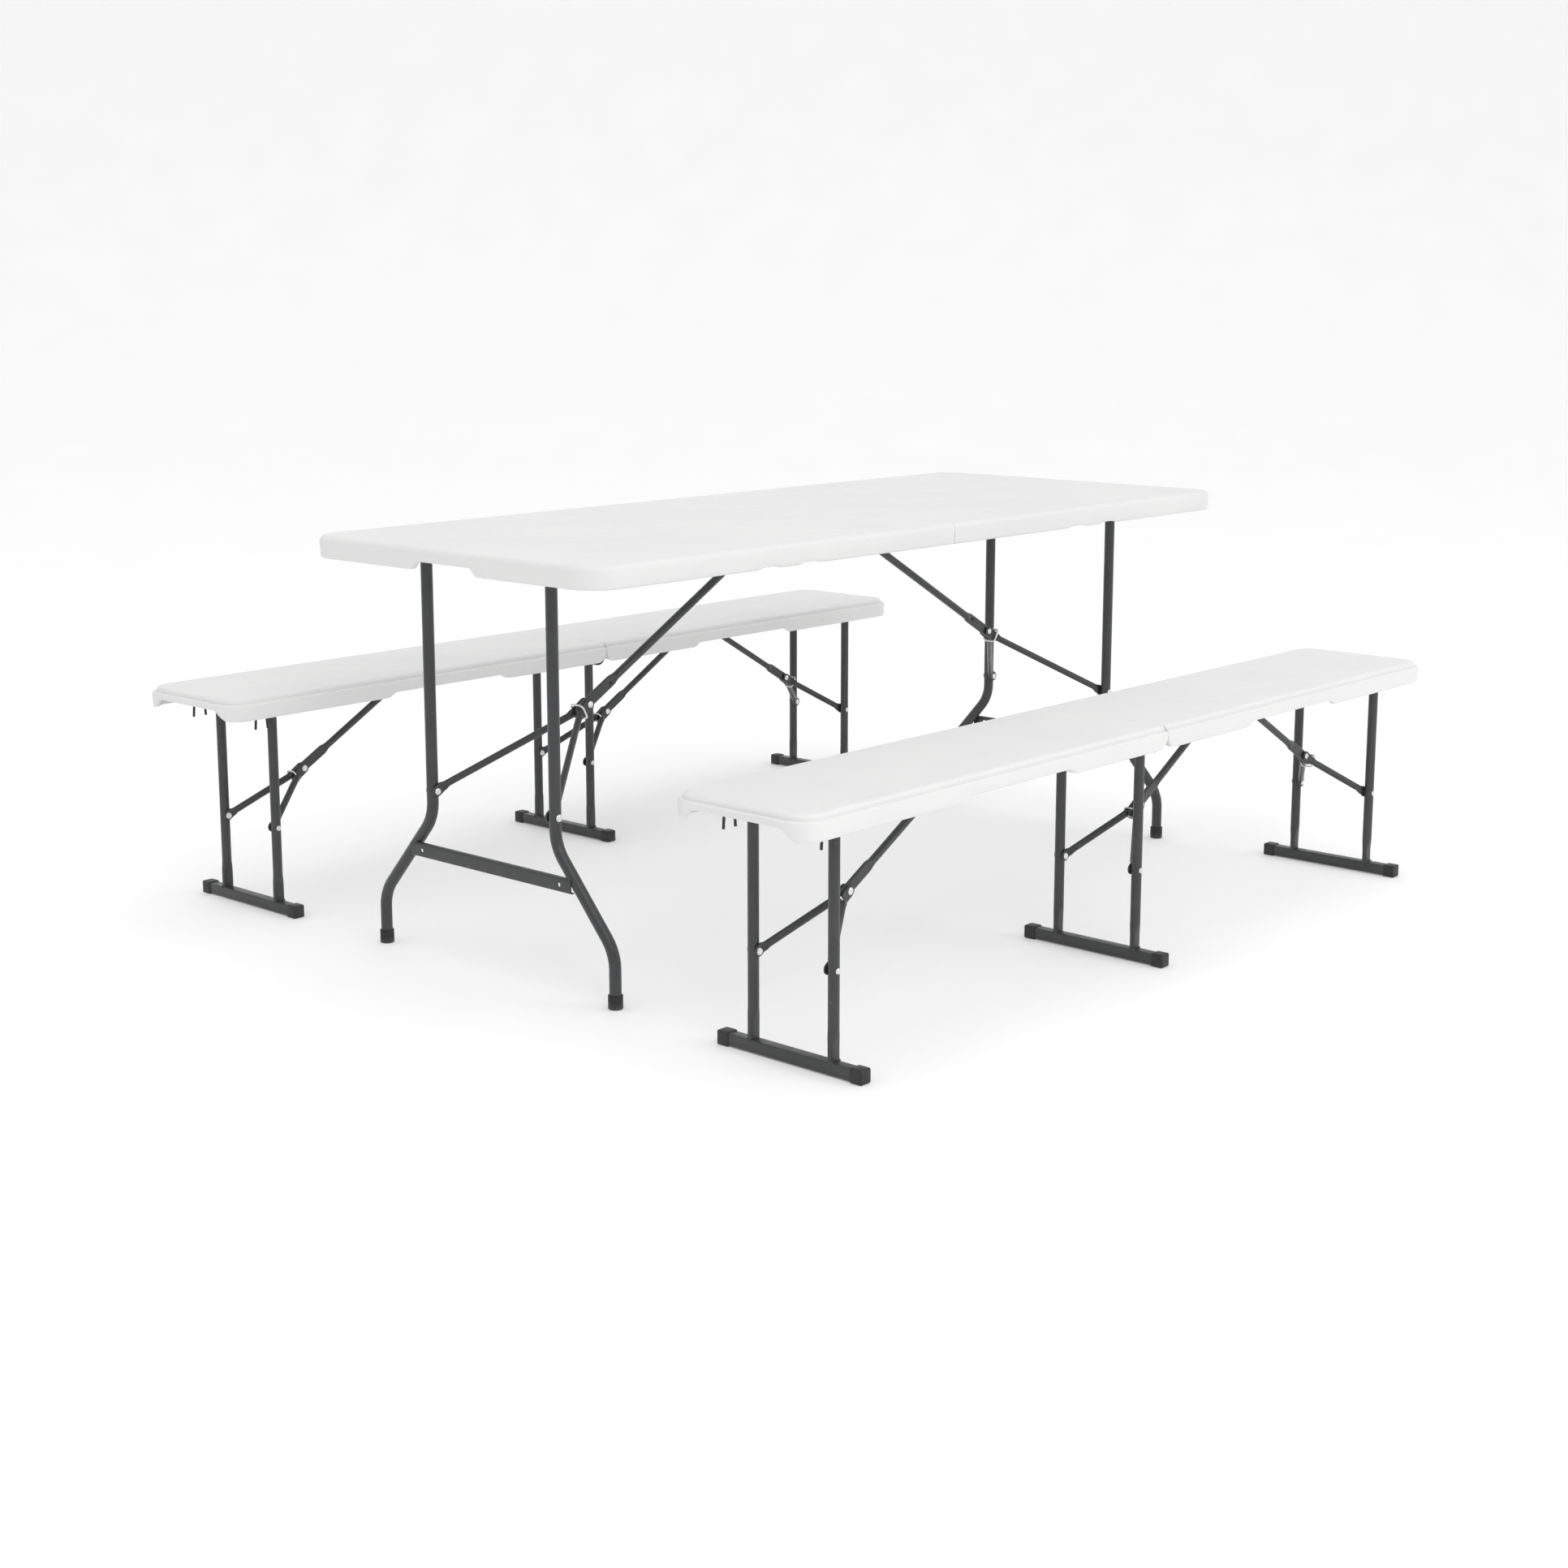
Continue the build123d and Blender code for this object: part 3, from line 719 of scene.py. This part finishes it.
def arm_stations(spec, length):
    """One arm from its leg rivet to the knee: a flat tab, a round tube that leans inwards
    and another flat tab, ARM_FLARE past the end of the tube."""
    leg_y, knee_y = spec["arm_leg_y"], spec["arm_knee_y"]
    tab_leg, tab_knee = spec["tab_leg_y"], spec["tab_knee_y"]
    r, w, t = spec["arm_r"], spec["tab_w"], spec["tab_t"] / 2
    start, end = spec["leg_flat"], length - spec["straight"]
    stations = flat_tab_end(w, t, tab_leg, 1)
    for k in range(0, 7):
        f = k / 6
        e = smooth_step(f, 0, 1)
        stations.append((start * (0.45 + 0.55 * f), tab_leg + (leg_y - tab_leg) * e,
                         t + (r - t) * e, w + (r - w) * e))
    for k in range(1, 9):
        f = k / 9
        stations.append((start + (end - start) * f, leg_y + (knee_y - leg_y) * f, r, r))
    for k in range(0, 7):
        f = k / 6
        e = smooth_step(f, 0, 1)
        stations.append((end + ARM_FLARE * f, knee_y + (tab_knee - knee_y) * e,
                         r + (t - r) * e, r + (w - r) * e))
    tip = flat_tab_end(w, t, tab_knee, -1)
    stations += [(length + s, y, a, b) for s, y, a, b in tip[::-1]]
    return stations


def add_arms(link, spec):
    """Both arms and the heads of the rivet through the knee."""
    knee = link.knee(spec["tab_w"])
    rivet = Vector((0, 0, link.rivet_z))
    heading = (knee - rivet).normalized()
    to_frame = along(rivet, heading)
    length = (knee - rivet).length
    steel, heads = Shell(), Shell()
    for side in (-1, 1):
        stations = [(s, side * y, t, w) for s, y, t, w in arm_stations(spec, length)]
        steel.rings(strip_rings(to_frame, stations))
        face = spec["tab_knee_y"] + spec["tab_t"] / 2
        add_lathe(heads, rivet_profile(6.0, spec["rivet_h"]), knee + Vector((0, side * face, 0)),
                  (0, side, 0), 28)
    link.piece("arms_tubes", steel, "charcoal_steel", (f"{link.name}_arms",), TUBE_CREASE)
    link.piece("arms_rivets", heads, "zinc_steel")


def add_brace(link, spec):
    """The single brace: pressed flat past the knee and again at its upper eye."""
    knee = link.knee(spec["tab_w"])
    heading = (link.anchor - knee).normalized()
    to_frame = along(knee, heading)
    length = (link.anchor - knee).length
    half, w, r, run = spec["flat_half"], spec["tab_w"], spec["brace_r"], spec["flat_run"]
    stations = [(-spec["tail"] + w + s, y, a, b) for s, y, a, b in flat_tab_end(w, half, 0, 1)]
    stations += [(s, 0, half, w) for s in (0.0, 12.0, 26.0, 42.0, run - 13)]
    for k in range(0, 8):
        f = k / 7
        e = smooth_step(f, 0, 1)
        stations.append((run - 12 + 16 * f, 0, half + (r - half) * e, w + (r - w) * e))
    stations += [(run + (length - 36 - run) * f, 0, r, r) for f in (0.25, 0.5, 0.75)]
    eye = spec["anchor_w"]
    for k in range(0, 6):
        f = k / 5
        e = smooth_step(f, 0, 1)
        stations.append((length - 30 + 14 * f, 0, r + (half - r) * e, r + (eye - r) * e))
    tip = flat_tab_end(eye, half, 0, -1)
    stations += [(length + s, y, a, b) for s, y, a, b in tip[::-1]]
    steel = Shell()
    steel.rings(strip_rings(to_frame, stations))
    piece = link.piece("brace_tube", steel, "charcoal_steel", (f"{link.name}_brace",),
                       TUBE_CREASE)
    holes = [(link.place(link.anchor) / MM, (0, 1, 0), 3.15, 60.0)]
    if spec["vent"]:
        holes.append((link.place(to_frame(run - 16, 0, 0)) / MM, (0, 1, 0), 2.8, 60.0))
    carve(piece, holes)


def add_ring(link, spec):
    """The bright wire lock ring round the knee."""
    low, high = box_mm(f"{link.name}_ring")
    middle = (low + high) / 2
    centre = Vector(((middle.x - link.x) * link.way, 0, middle.z))
    knee = link.knee(spec["tab_w"])
    heading = (link.anchor - knee).normalized()
    up = Vector((-heading.z, 0, heading.x))
    wire = spec["wire_r"]
    half_y = (high.y - low.y) / 2 - wire
    tall = (high.z - low.z) / 2 - wire
    half_h = tall / up.z
    corner = half_y * 0.42
    path = []
    for cy, ch, first in ((1, 1, 0), (-1, 1, 90), (-1, -1, 180), (1, -1, 270)):
        for k in range(7):
            a = math.radians(first + 15 * k)
            path.append((cy * (half_y - corner) + corner * math.cos(a),
                         ch * (half_h - corner) + corner * math.sin(a)))
    rings = []
    for k, (y, h) in enumerate(path):
        before, after = path[k - 1], path[(k + 1) % len(path)]
        t = Vector((0, after[0] - before[0], 0)) + up * (after[1] - before[1])
        side = t.normalized().cross(heading)
        rings.append(section(centre + Vector((0, y, 0)) + up * h, heading * wire,
                             side * wire, 2.0, 16))
    shell = Shell()
    shell.rings(rings, closed=True)
    link.piece("ring_wire", shell, "zinc_steel", (f"{link.name}_ring",))


def add_pivot_tube(shell, link, spec):
    """The open tube across the top of a frame, which it folds about."""
    half = spec["pivot_half"]
    add_tube(shell, [(0, -half, link.pivot_z), (0, half, link.pivot_z)], spec["leg_r"],
             (1, 0, 0), wall=TUBE_WALL)


def add_leg_rivets(link, spec, name):
    """Domed heads on both faces of each leg, and the shank that carries the arm."""
    heads = Shell()
    inner = spec["leg_y"] - spec["leg_r"] - ARM_GAP - spec["tab_t"]
    outer = spec["leg_y"] + spec["leg_r"]
    for side in (-1, 1):
        add_lathe(heads, rivet_profile(6.2, 2.2), (0, side * (inner - 0.1), link.rivet_z),
                  (0, -side, 0), 28)
        add_lathe(heads, [(2.9, 0), (2.9, spec["tab_t"] + 3.0)],
                  (0, side * (inner - 0.1), link.rivet_z), (0, side, 0), 20)
        add_lathe(heads, rivet_profile(spec["head_r"], 2.4),
                  (0, side * (outer - 0.7), link.rivet_z), (0, side, 0), 28)
    link.piece(name, heads, "zinc_steel")


BEAD_STEPS = 40


def add_bead(shell, centre, axis, radius, bead, seed):
    """A weld bead: a ring of metal with an uneven, rippled width. seed shifts the
    ripples."""
    axis = Vector(axis).normalized()
    a = axis.orthogonal().normalized()
    b = axis.cross(a)
    rings = []
    for k in range(BEAD_STEPS):
        t = 2 * math.pi * k / BEAD_STEPS
        out = a * math.cos(t) + b * math.sin(t)
        size = bead * (1 + 0.16 * math.sin(9 * t + seed) + 0.10 * math.sin(17 * t + 2 * seed))
        rings.append(section(Vector(centre) + out * radius, out * size, axis * size, 2.0, 10))
    shell.rings(rings, closed=True)


# Sizes of the two kinds of leg frame.
#   leg_y, leg_r, pivot_half  the legs' spacing from the middle, radius, and half the length
#                             of their pivot tube
#   arm_r, brace_r            radii of the arms and the brace
#   tab_w, tab_t, anchor_w    half width and thickness of the arms' flat tabs, and half
#                             width of the brace's eye
#   flat_half, flat_run, tail half thickness of the brace's flat, and how far it runs
#                             before and past the knee
#   straight, leg_flat        lengths of the arms' flats at the knee and at the leg
#   wire_r, rivet_h, head_r   the ring's wire, and the knee and leg rivets' heads
#   vent                      whether the brace has a second hole
#   mount_y, mount_low        place and lower end of the saddles round the pivot tube
#   ceiling, anchor_z         heights of the plastic above and of the brace's upper pin
TABLE = dict(leg_y=157.0, leg_r=10.25, pivot_half=172.0, arm_r=6.5, brace_r=7.25, tab_w=10.0,
             anchor_w=8.0, tab_t=4.0, flat_half=4.5, flat_run=79.0, tail=28.0, straight=36.0,
             leg_flat=22.0, wire_r=2.0, rivet_h=1.8, head_r=6.4, vent=True,
             mount_low=700.0, ceiling=734.0, mount_y=120.0, anchor_z=723.5)
BENCH = dict(leg_y=81.5, leg_r=9.0, pivot_half=114.0, arm_r=6.5, brace_r=6.5, tab_w=9.5,
             anchor_w=6.5, tab_t=3.5, flat_half=3.5, flat_run=66.0, tail=32.0, straight=27.6,
             leg_flat=16.0, wire_r=1.5, rivet_h=1.2, head_r=5.0, vent=False,
             mount_low=380.0, ceiling=420.0, mount_y=102.0, anchor_z=411.0)
TUBE_WALL = 1.2
ARM_GAP = 0.6
for sizes in (TABLE, BENCH):
    leg_face = sizes["leg_y"] - sizes["leg_r"] - ARM_GAP
    knee_face = sizes["flat_half"] + 1.5
    sizes["arm_leg_y"] = leg_face - sizes["arm_r"]
    sizes["arm_knee_y"] = knee_face + sizes["arm_r"]
    sizes["tab_leg_y"] = leg_face - sizes["tab_t"] / 2
    sizes["tab_knee_y"] = knee_face + sizes["tab_t"] / 2


TABLE_BEND = 75.0
TABLE_BEND_TOP = 252.0
TABLE_BEND_FOOT = 94.0
CROSSBAR_HALF = 204.0
CROSSBAR_HOLE = (-8.0, 176.0, 191.0)
CROSSBAR_FOLDS = [(-4.0, 179.5), (-11.0, 179.5), (-11.0, 202.5), (-4.0, 202.5)]
FOOT_CAP = [(7.0, 0.0), (10.6, 0.0), (11.9, 0.6), (12.5, 2.0), (12.5, 20.6), (12.3, 21.2),
            (12.5, 21.8), (12.5, 23.2), (12.1, 23.8), (11.4, 24.0), (10.35, 24.0), (10.3, 6.0)]


def add_table_frame(name):
    """Two legs that splay below a bend, joined by a folded crossbar, with rubber caps."""
    link = Linkage(name)
    spec = TABLE
    low, high = box_mm(f"{name}_legs")
    foot_y = (high.y - low.y) / 2 - spec["leg_r"]
    steel = Shell()
    add_pivot_tube(steel, link, spec)
    for side in (-1, 1):
        top_y, low_y = side * spec["leg_y"], side * foot_y
        route = [(0, top_y, link.pivot_z), (0, top_y, TABLE_BEND_TOP),
                 (0, low_y, TABLE_BEND_FOOT), (0, low_y, 5)]
        add_tube(steel, route, spec["leg_r"], (1, 0, 0), bend=TABLE_BEND)
        add_bead(steel, (0, side * spec["leg_y"], link.pivot_z - spec["leg_r"] + 1.5),
                 (0, 0, 1), spec["leg_r"] - 0.4, 1.7, side)
    link.piece("legs_tubes", steel, "charcoal_steel", (f"{name}_legs",), TUBE_CREASE)
    bar = Shell()
    add_channel(bar, CROSSBAR_FOLDS, CROSSBAR_HALF)
    piece = link.piece("legs_crossbar", bar, "charcoal_steel", (), TUBE_CREASE)
    x, y, z = CROSSBAR_HOLE
    carve(piece, [(link.place((x, side * y, z)) / MM, (1, 0, 0), 3.6, 40.0)
                  for side in (-1, 1)])
    add_leg_rivets(link, spec, "legs_rivets")
    rubber = Shell()
    for side in (-1, 1):
        add_lathe(rubber, FOOT_CAP, (0, side * foot_y, 0), (0, 0, 1), 40)
    link.piece("legs_caps", rubber, "black_rubber", (f"{name}_feet",), MOULDED_CREASE)
    add_arms(link, spec)
    add_brace(link, spec)
    add_ring(link, spec)


# Heights of the stations down a bench leg, between its pivot and its foot bar, and the
# half sizes it is pressed to.
BENCH_LEG_HEIGHTS = (200.0, 100.0, 76.0, 72.0, 68.0, 64.0, 60.0, 56.0, 52.0, 47.0, 42.0,
                     36.0, 28.0)
BENCH_LEG_PRESSED = (10.6, 4.8)
SHOE_LENGTH = 24.0
PRESS_SPAN = (44.0, 74.0)


def pressed_leg(spec, y, top_z, low_z):
    """Rings of a bench leg: round at the top and pressed flat above the foot bar."""
    rings = []
    r = spec["leg_r"]
    for z in (top_z, *BENCH_LEG_HEIGHTS, low_z):
        e = 1 - smooth_step(z, *PRESS_SPAN)
        wide = r + (BENCH_LEG_PRESSED[0] - r) * e
        thick = r + (BENCH_LEG_PRESSED[1] - r) * e
        rings.append(section(Vector((0, y, z)), Vector((wide, 0, 0)), Vector((0, thick, 0)),
                             2.0 + 2.2 * e))
    return rings


def add_bench_frame(name):
    """Two legs on a square foot bar, with a plastic shoe at each end of the bar."""
    link = Linkage(name)
    spec = BENCH
    low, high = box_mm(f"{name}_feet")
    middle_u = ((low.x + high.x) / 2 - link.x) * link.way
    bar_half = (high.y - low.y) / 2 - 2.0
    bar_z = high.z / 2
    r = spec["leg_r"]
    steel = Shell()
    add_pivot_tube(steel, link, spec)
    for side in (-1, 1):
        y = side * spec["leg_y"]
        steel.rings(pressed_leg(spec, y, link.pivot_z, bar_z + 8.0))
        add_bead(steel, (0, y, link.pivot_z - r + 1.5), (0, 0, 1), r - 0.4, 1.5, side)
        for end in (-1, 1):
            add_lathe(steel, [(3.4, -3.0), (3.6, 0.0), (3.0, 1.6), (1.6, 2.6), (0.4, 3.0)],
                      (end * 9.0 - 1.0, y + side * 3.4, bar_z + 9.6), (0, side * 0.5, 1), 14)
    add_box(steel, (middle_u - 10, -bar_half + 4, bar_z - 10),
            (middle_u + 10, bar_half - 4, bar_z + 10), 2.0, 4)
    link.piece("legs_tubes", steel, "charcoal_steel", (f"{name}_legs",), TUBE_CREASE)
    add_leg_rivets(link, spec, "legs_rivets")
    shoes = Shell()
    for side in (-1, 1):
        tip = side * (bar_half + 2.0)
        ends = sorted((tip, tip - side * SHOE_LENGTH))
        add_box(shoes, (middle_u - 12, ends[0], 0.0), (middle_u + 12, ends[1], 2 * bar_z),
                3.0, 4)
    link.piece("legs_shoes", shoes, "black_plastic", (f"{name}_feet",), MOULDED_CREASE)
    add_arms(link, spec)
    add_brace(link, spec)
    add_ring(link, spec)


# ---------------------------------------------------------------- fixings under the tops

SCREW_HEAD = [(3.6, 0.0), (3.6, 0.8), (3.2, 1.6), (2.4, 2.1), (1.2, 2.2), (0.9, 1.5),
              (0.3, 1.2)]
SADDLE_HALF = 13.0
SADDLE_REACH = 10.0
BRACKET_END = 8.5
BRACKET_SHEET = 2.4
PLATE_SHEET = 1.6
PIN_R = 3.0


def add_mounts(node, body, tube, brackets, spec):
    """Saddles round a pivot tube and a U-bracket for the braces. tube is the (x, y, z) of
    its middle; each bracket is (low x, high x, pins)."""
    x, y0, z = tube
    bore, low_z, top_z = spec["leg_r"] + 0.15, spec["mount_low"], spec["ceiling"]
    half, bottom = spec["flat_half"] + 3.2, spec["anchor_z"] - spec["anchor_w"] + 2.0
    black, bright = Shell(), Shell()
    for side in (-1, 1):
        y = y0 + side * spec["mount_y"]
        near, far = y - SADDLE_REACH, y + SADDLE_REACH
        add_saddle(black, (x, z), (SADDLE_HALF, SADDLE_HALF, z - low_z, top_z - 3.0 - z), bore,
                   (near, far))
        add_box(black, (x - SADDLE_HALF, near, top_z - 4.0), (x + SADDLE_HALF, far, top_z), 1.0)
    for low, high, pins in brackets:
        add_box(black, (low, y0 - half, top_z - PLATE_SHEET), (high, y0 + half, top_z), 0.5, 2)
        for side in (-1, 1):
            ends = sorted((y0 + side * half, y0 + side * (half - BRACKET_SHEET)))
            add_box(black, (low, ends[0], bottom), (high, ends[1], top_z), 0.9, 3)
        for pin in pins:
            for side in (-1, 1):
                add_lathe(bright, rivet_profile(4.6, 1.8),
                          (pin, y0 + side * half, spec["anchor_z"]), (0, side, 0), 24)
            add_lathe(bright, [(PIN_R, -half), (PIN_R, half)], (pin, y0, spec["anchor_z"]),
                      (0, 1, 0), 20)
        add_lathe(bright, SCREW_HEAD, ((low + high) / 2, y0, top_z - PLATE_SHEET),
                  (0, 0, -1), 20)
    make_object(f"{node}_moulded", black, in_metres, "black_plastic", body, (node,),
                TUBE_CREASE)
    make_object(f"{node}_bright", bright, in_metres, "zinc_steel", body)


def add_all_mounts():
    """The table has one frame under each half; the right half of a bench carries two."""
    for side in ("left", "right"):
        link = Linkage(f"table_{side}")
        x = link.x + link.way * link.anchor.x
        add_mounts(f"table_{side}_mounts", f"table_{side}_half", (link.x, link.y, link.pivot_z),
                   [(x - BRACKET_END, x + BRACKET_END, [x])], TABLE)
    for bench in ("front", "back"):
        for side, others in (("left", ()), ("right", ("mid",))):
            link = Linkage(f"{bench}_{side}")
            links = [link] + [Linkage(f"{bench}_{other}") for other in others]
            pins = [part.x + part.way * part.anchor.x for part in links]
            add_mounts(f"{bench}_mounts_{side}", f"{bench}_{side}_half",
                       (link.x, link.y, link.pivot_z),
                       [(min(pins) - BRACKET_END, max(pins) + BRACKET_END, pins)], BENCH)


def finish_node(node, slot_name):
    """Give a CAD node that is shown as it is one of the materials above."""
    NODES[node].data.materials.clear()
    NODES[node].data.materials.append(MATERIALS[slot_name])


for node in ("table_hinge_left", "table_hinge_right"):
    finish_node(node, "zinc_steel")
for node in NODES:
    if "clips" in node or (not node.startswith("table") and "hinge" in node):
        finish_node(node, "black_plastic")

add_top("table", table_top_shell, "table_top", 0.0)
for bench in ("front", "back"):
    middle = JOINTS[f"{bench}_bench_fold_in_half"]["pos_m"][1] / MM
    add_top(bench, seat_shell, f"{bench}_seat", middle)
    for place in ("left", "mid", "right"):
        add_bench_frame(f"{bench}_{place}")
for place in ("left", "right"):
    add_table_frame(f"table_{place}")
add_all_mounts()


# ---------------------------------------------------------------- floor, light, camera

CAMERA_YAW = math.radians(48.11)
CAMERA_PITCH = math.radians(10.30)
CAMERA_PLACE = (-3.377, -2.975, 1.183)
CAMERA_LENS = 54.0559
CAMERA_SENSOR = 36.0
CAMERA_SHIFT = -0.05176
FLOOR_HALF = 30.0
FLOOR_BACK = 9.0
FLOOR_CURVE = 5.0
FLOOR_TOP = 24.0
FLOOR_GLOW = 0.11
SKY_LOW = 0.58
SKY_HIGH = 1.08


def sweep_floor():
    """A pale floor that curves up behind the object."""
    work = bmesh.new()
    profile = [(-FLOOR_HALF, 0.0), (FLOOR_BACK, 0.0)]
    for k in range(1, 13):
        a = math.pi / 2 * k / 12
        profile.append((FLOOR_BACK + FLOOR_CURVE * math.sin(a),
                        FLOOR_CURVE - FLOOR_CURVE * math.cos(a)))
    profile.append((FLOOR_BACK + FLOOR_CURVE, FLOOR_TOP))
    heading = Vector((math.sin(CAMERA_YAW), math.cos(CAMERA_YAW), 0))
    across = Vector((heading.y, -heading.x, 0))
    rows = []
    for away, height in profile:
        rows.append([work.verts.new(heading * away + across * s + Vector((0, 0, height)))
                     for s in (-FLOOR_HALF, FLOOR_HALF)])
    for a, b in zip(rows, rows[1:]):
        work.faces.new((a[0], a[1], b[1], b[0]))
    for face in work.faces:
        face.smooth = True
    mesh = bpy.data.meshes.new("floor")
    work.to_mesh(mesh)
    work.free()
    floor = bpy.data.objects.new("floor", mesh)
    bpy.context.scene.collection.objects.link(floor)
    material, tree, shader, coords = new_material("pale_floor")
    cloudy = noise_node(tree, coords, 3.0, 3.0)
    tint = ramp(tree, cloudy, ((0.3, (0.90, 0.90, 0.90)), (0.7, (0.92, 0.92, 0.92))))
    tree.links.new(tint, shader.inputs["Base Color"])
    shader.inputs["Roughness"].default_value = 0.7
    shader.inputs["Emission Color"].default_value = (1, 1, 1, 1)
    shader.inputs["Emission Strength"].default_value = FLOOR_GLOW
    mesh.materials.append(material)


def area_light(name, place, target, size, power):
    data = bpy.data.lights.new(name, "AREA")
    data.shape = "RECTANGLE"
    data.size, data.size_y = size
    data.energy = power
    light = bpy.data.objects.new(name, data)
    light.location = place
    light.rotation_euler = (Vector(target) - Vector(place)).to_track_quat("-Z", "Y").to_euler()
    bpy.context.scene.collection.objects.link(light)


def make_world():
    """White surroundings that grow brighter from the horizon upwards."""
    world = bpy.data.worlds.new("studio")
    world.use_nodes = True
    tree = world.node_tree
    background = tree.nodes["Background"]
    background.inputs["Color"].default_value = (1, 1, 1, 1)
    sky = tree.nodes.new("ShaderNodeTexCoord")
    sky_parts = tree.nodes.new("ShaderNodeSeparateXYZ")
    tree.links.new(sky.outputs["Generated"], sky_parts.inputs["Vector"])
    brightness = spread(tree, sky_parts.outputs["Z"], 0.0, 0.9, SKY_LOW, SKY_HIGH)
    tree.links.new(brightness, background.inputs["Strength"])
    bpy.context.scene.world = world
    bpy.context.scene.view_settings.view_transform = "Standard"


def make_camera():
    data = bpy.data.cameras.new("camera")
    data.sensor_width = CAMERA_SENSOR
    data.lens = CAMERA_LENS
    data.shift_y = CAMERA_SHIFT
    camera = bpy.data.objects.new("camera", data)
    camera.location = CAMERA_PLACE
    looking = Vector((math.sin(CAMERA_YAW) * math.cos(CAMERA_PITCH),
                      math.cos(CAMERA_YAW) * math.cos(CAMERA_PITCH), -math.sin(CAMERA_PITCH)))
    camera.rotation_euler = looking.to_track_quat("-Z", "Y").to_euler()
    bpy.context.scene.collection.objects.link(camera)
    bpy.context.scene.camera = camera


sweep_floor()
area_light("key", (-2.5, -4.5, 4.2), (0, 0, 0.4), (3.5, 3.0), 62)
area_light("side", (2.0, -5.4, 2.2), (0, 0, 0.4), (1.6, 2.2), 40)
area_light("overhead", (0.3, 0.4, 4.6), (0, 0, 0), (4.5, 4.0), 12)
make_world()
make_camera()
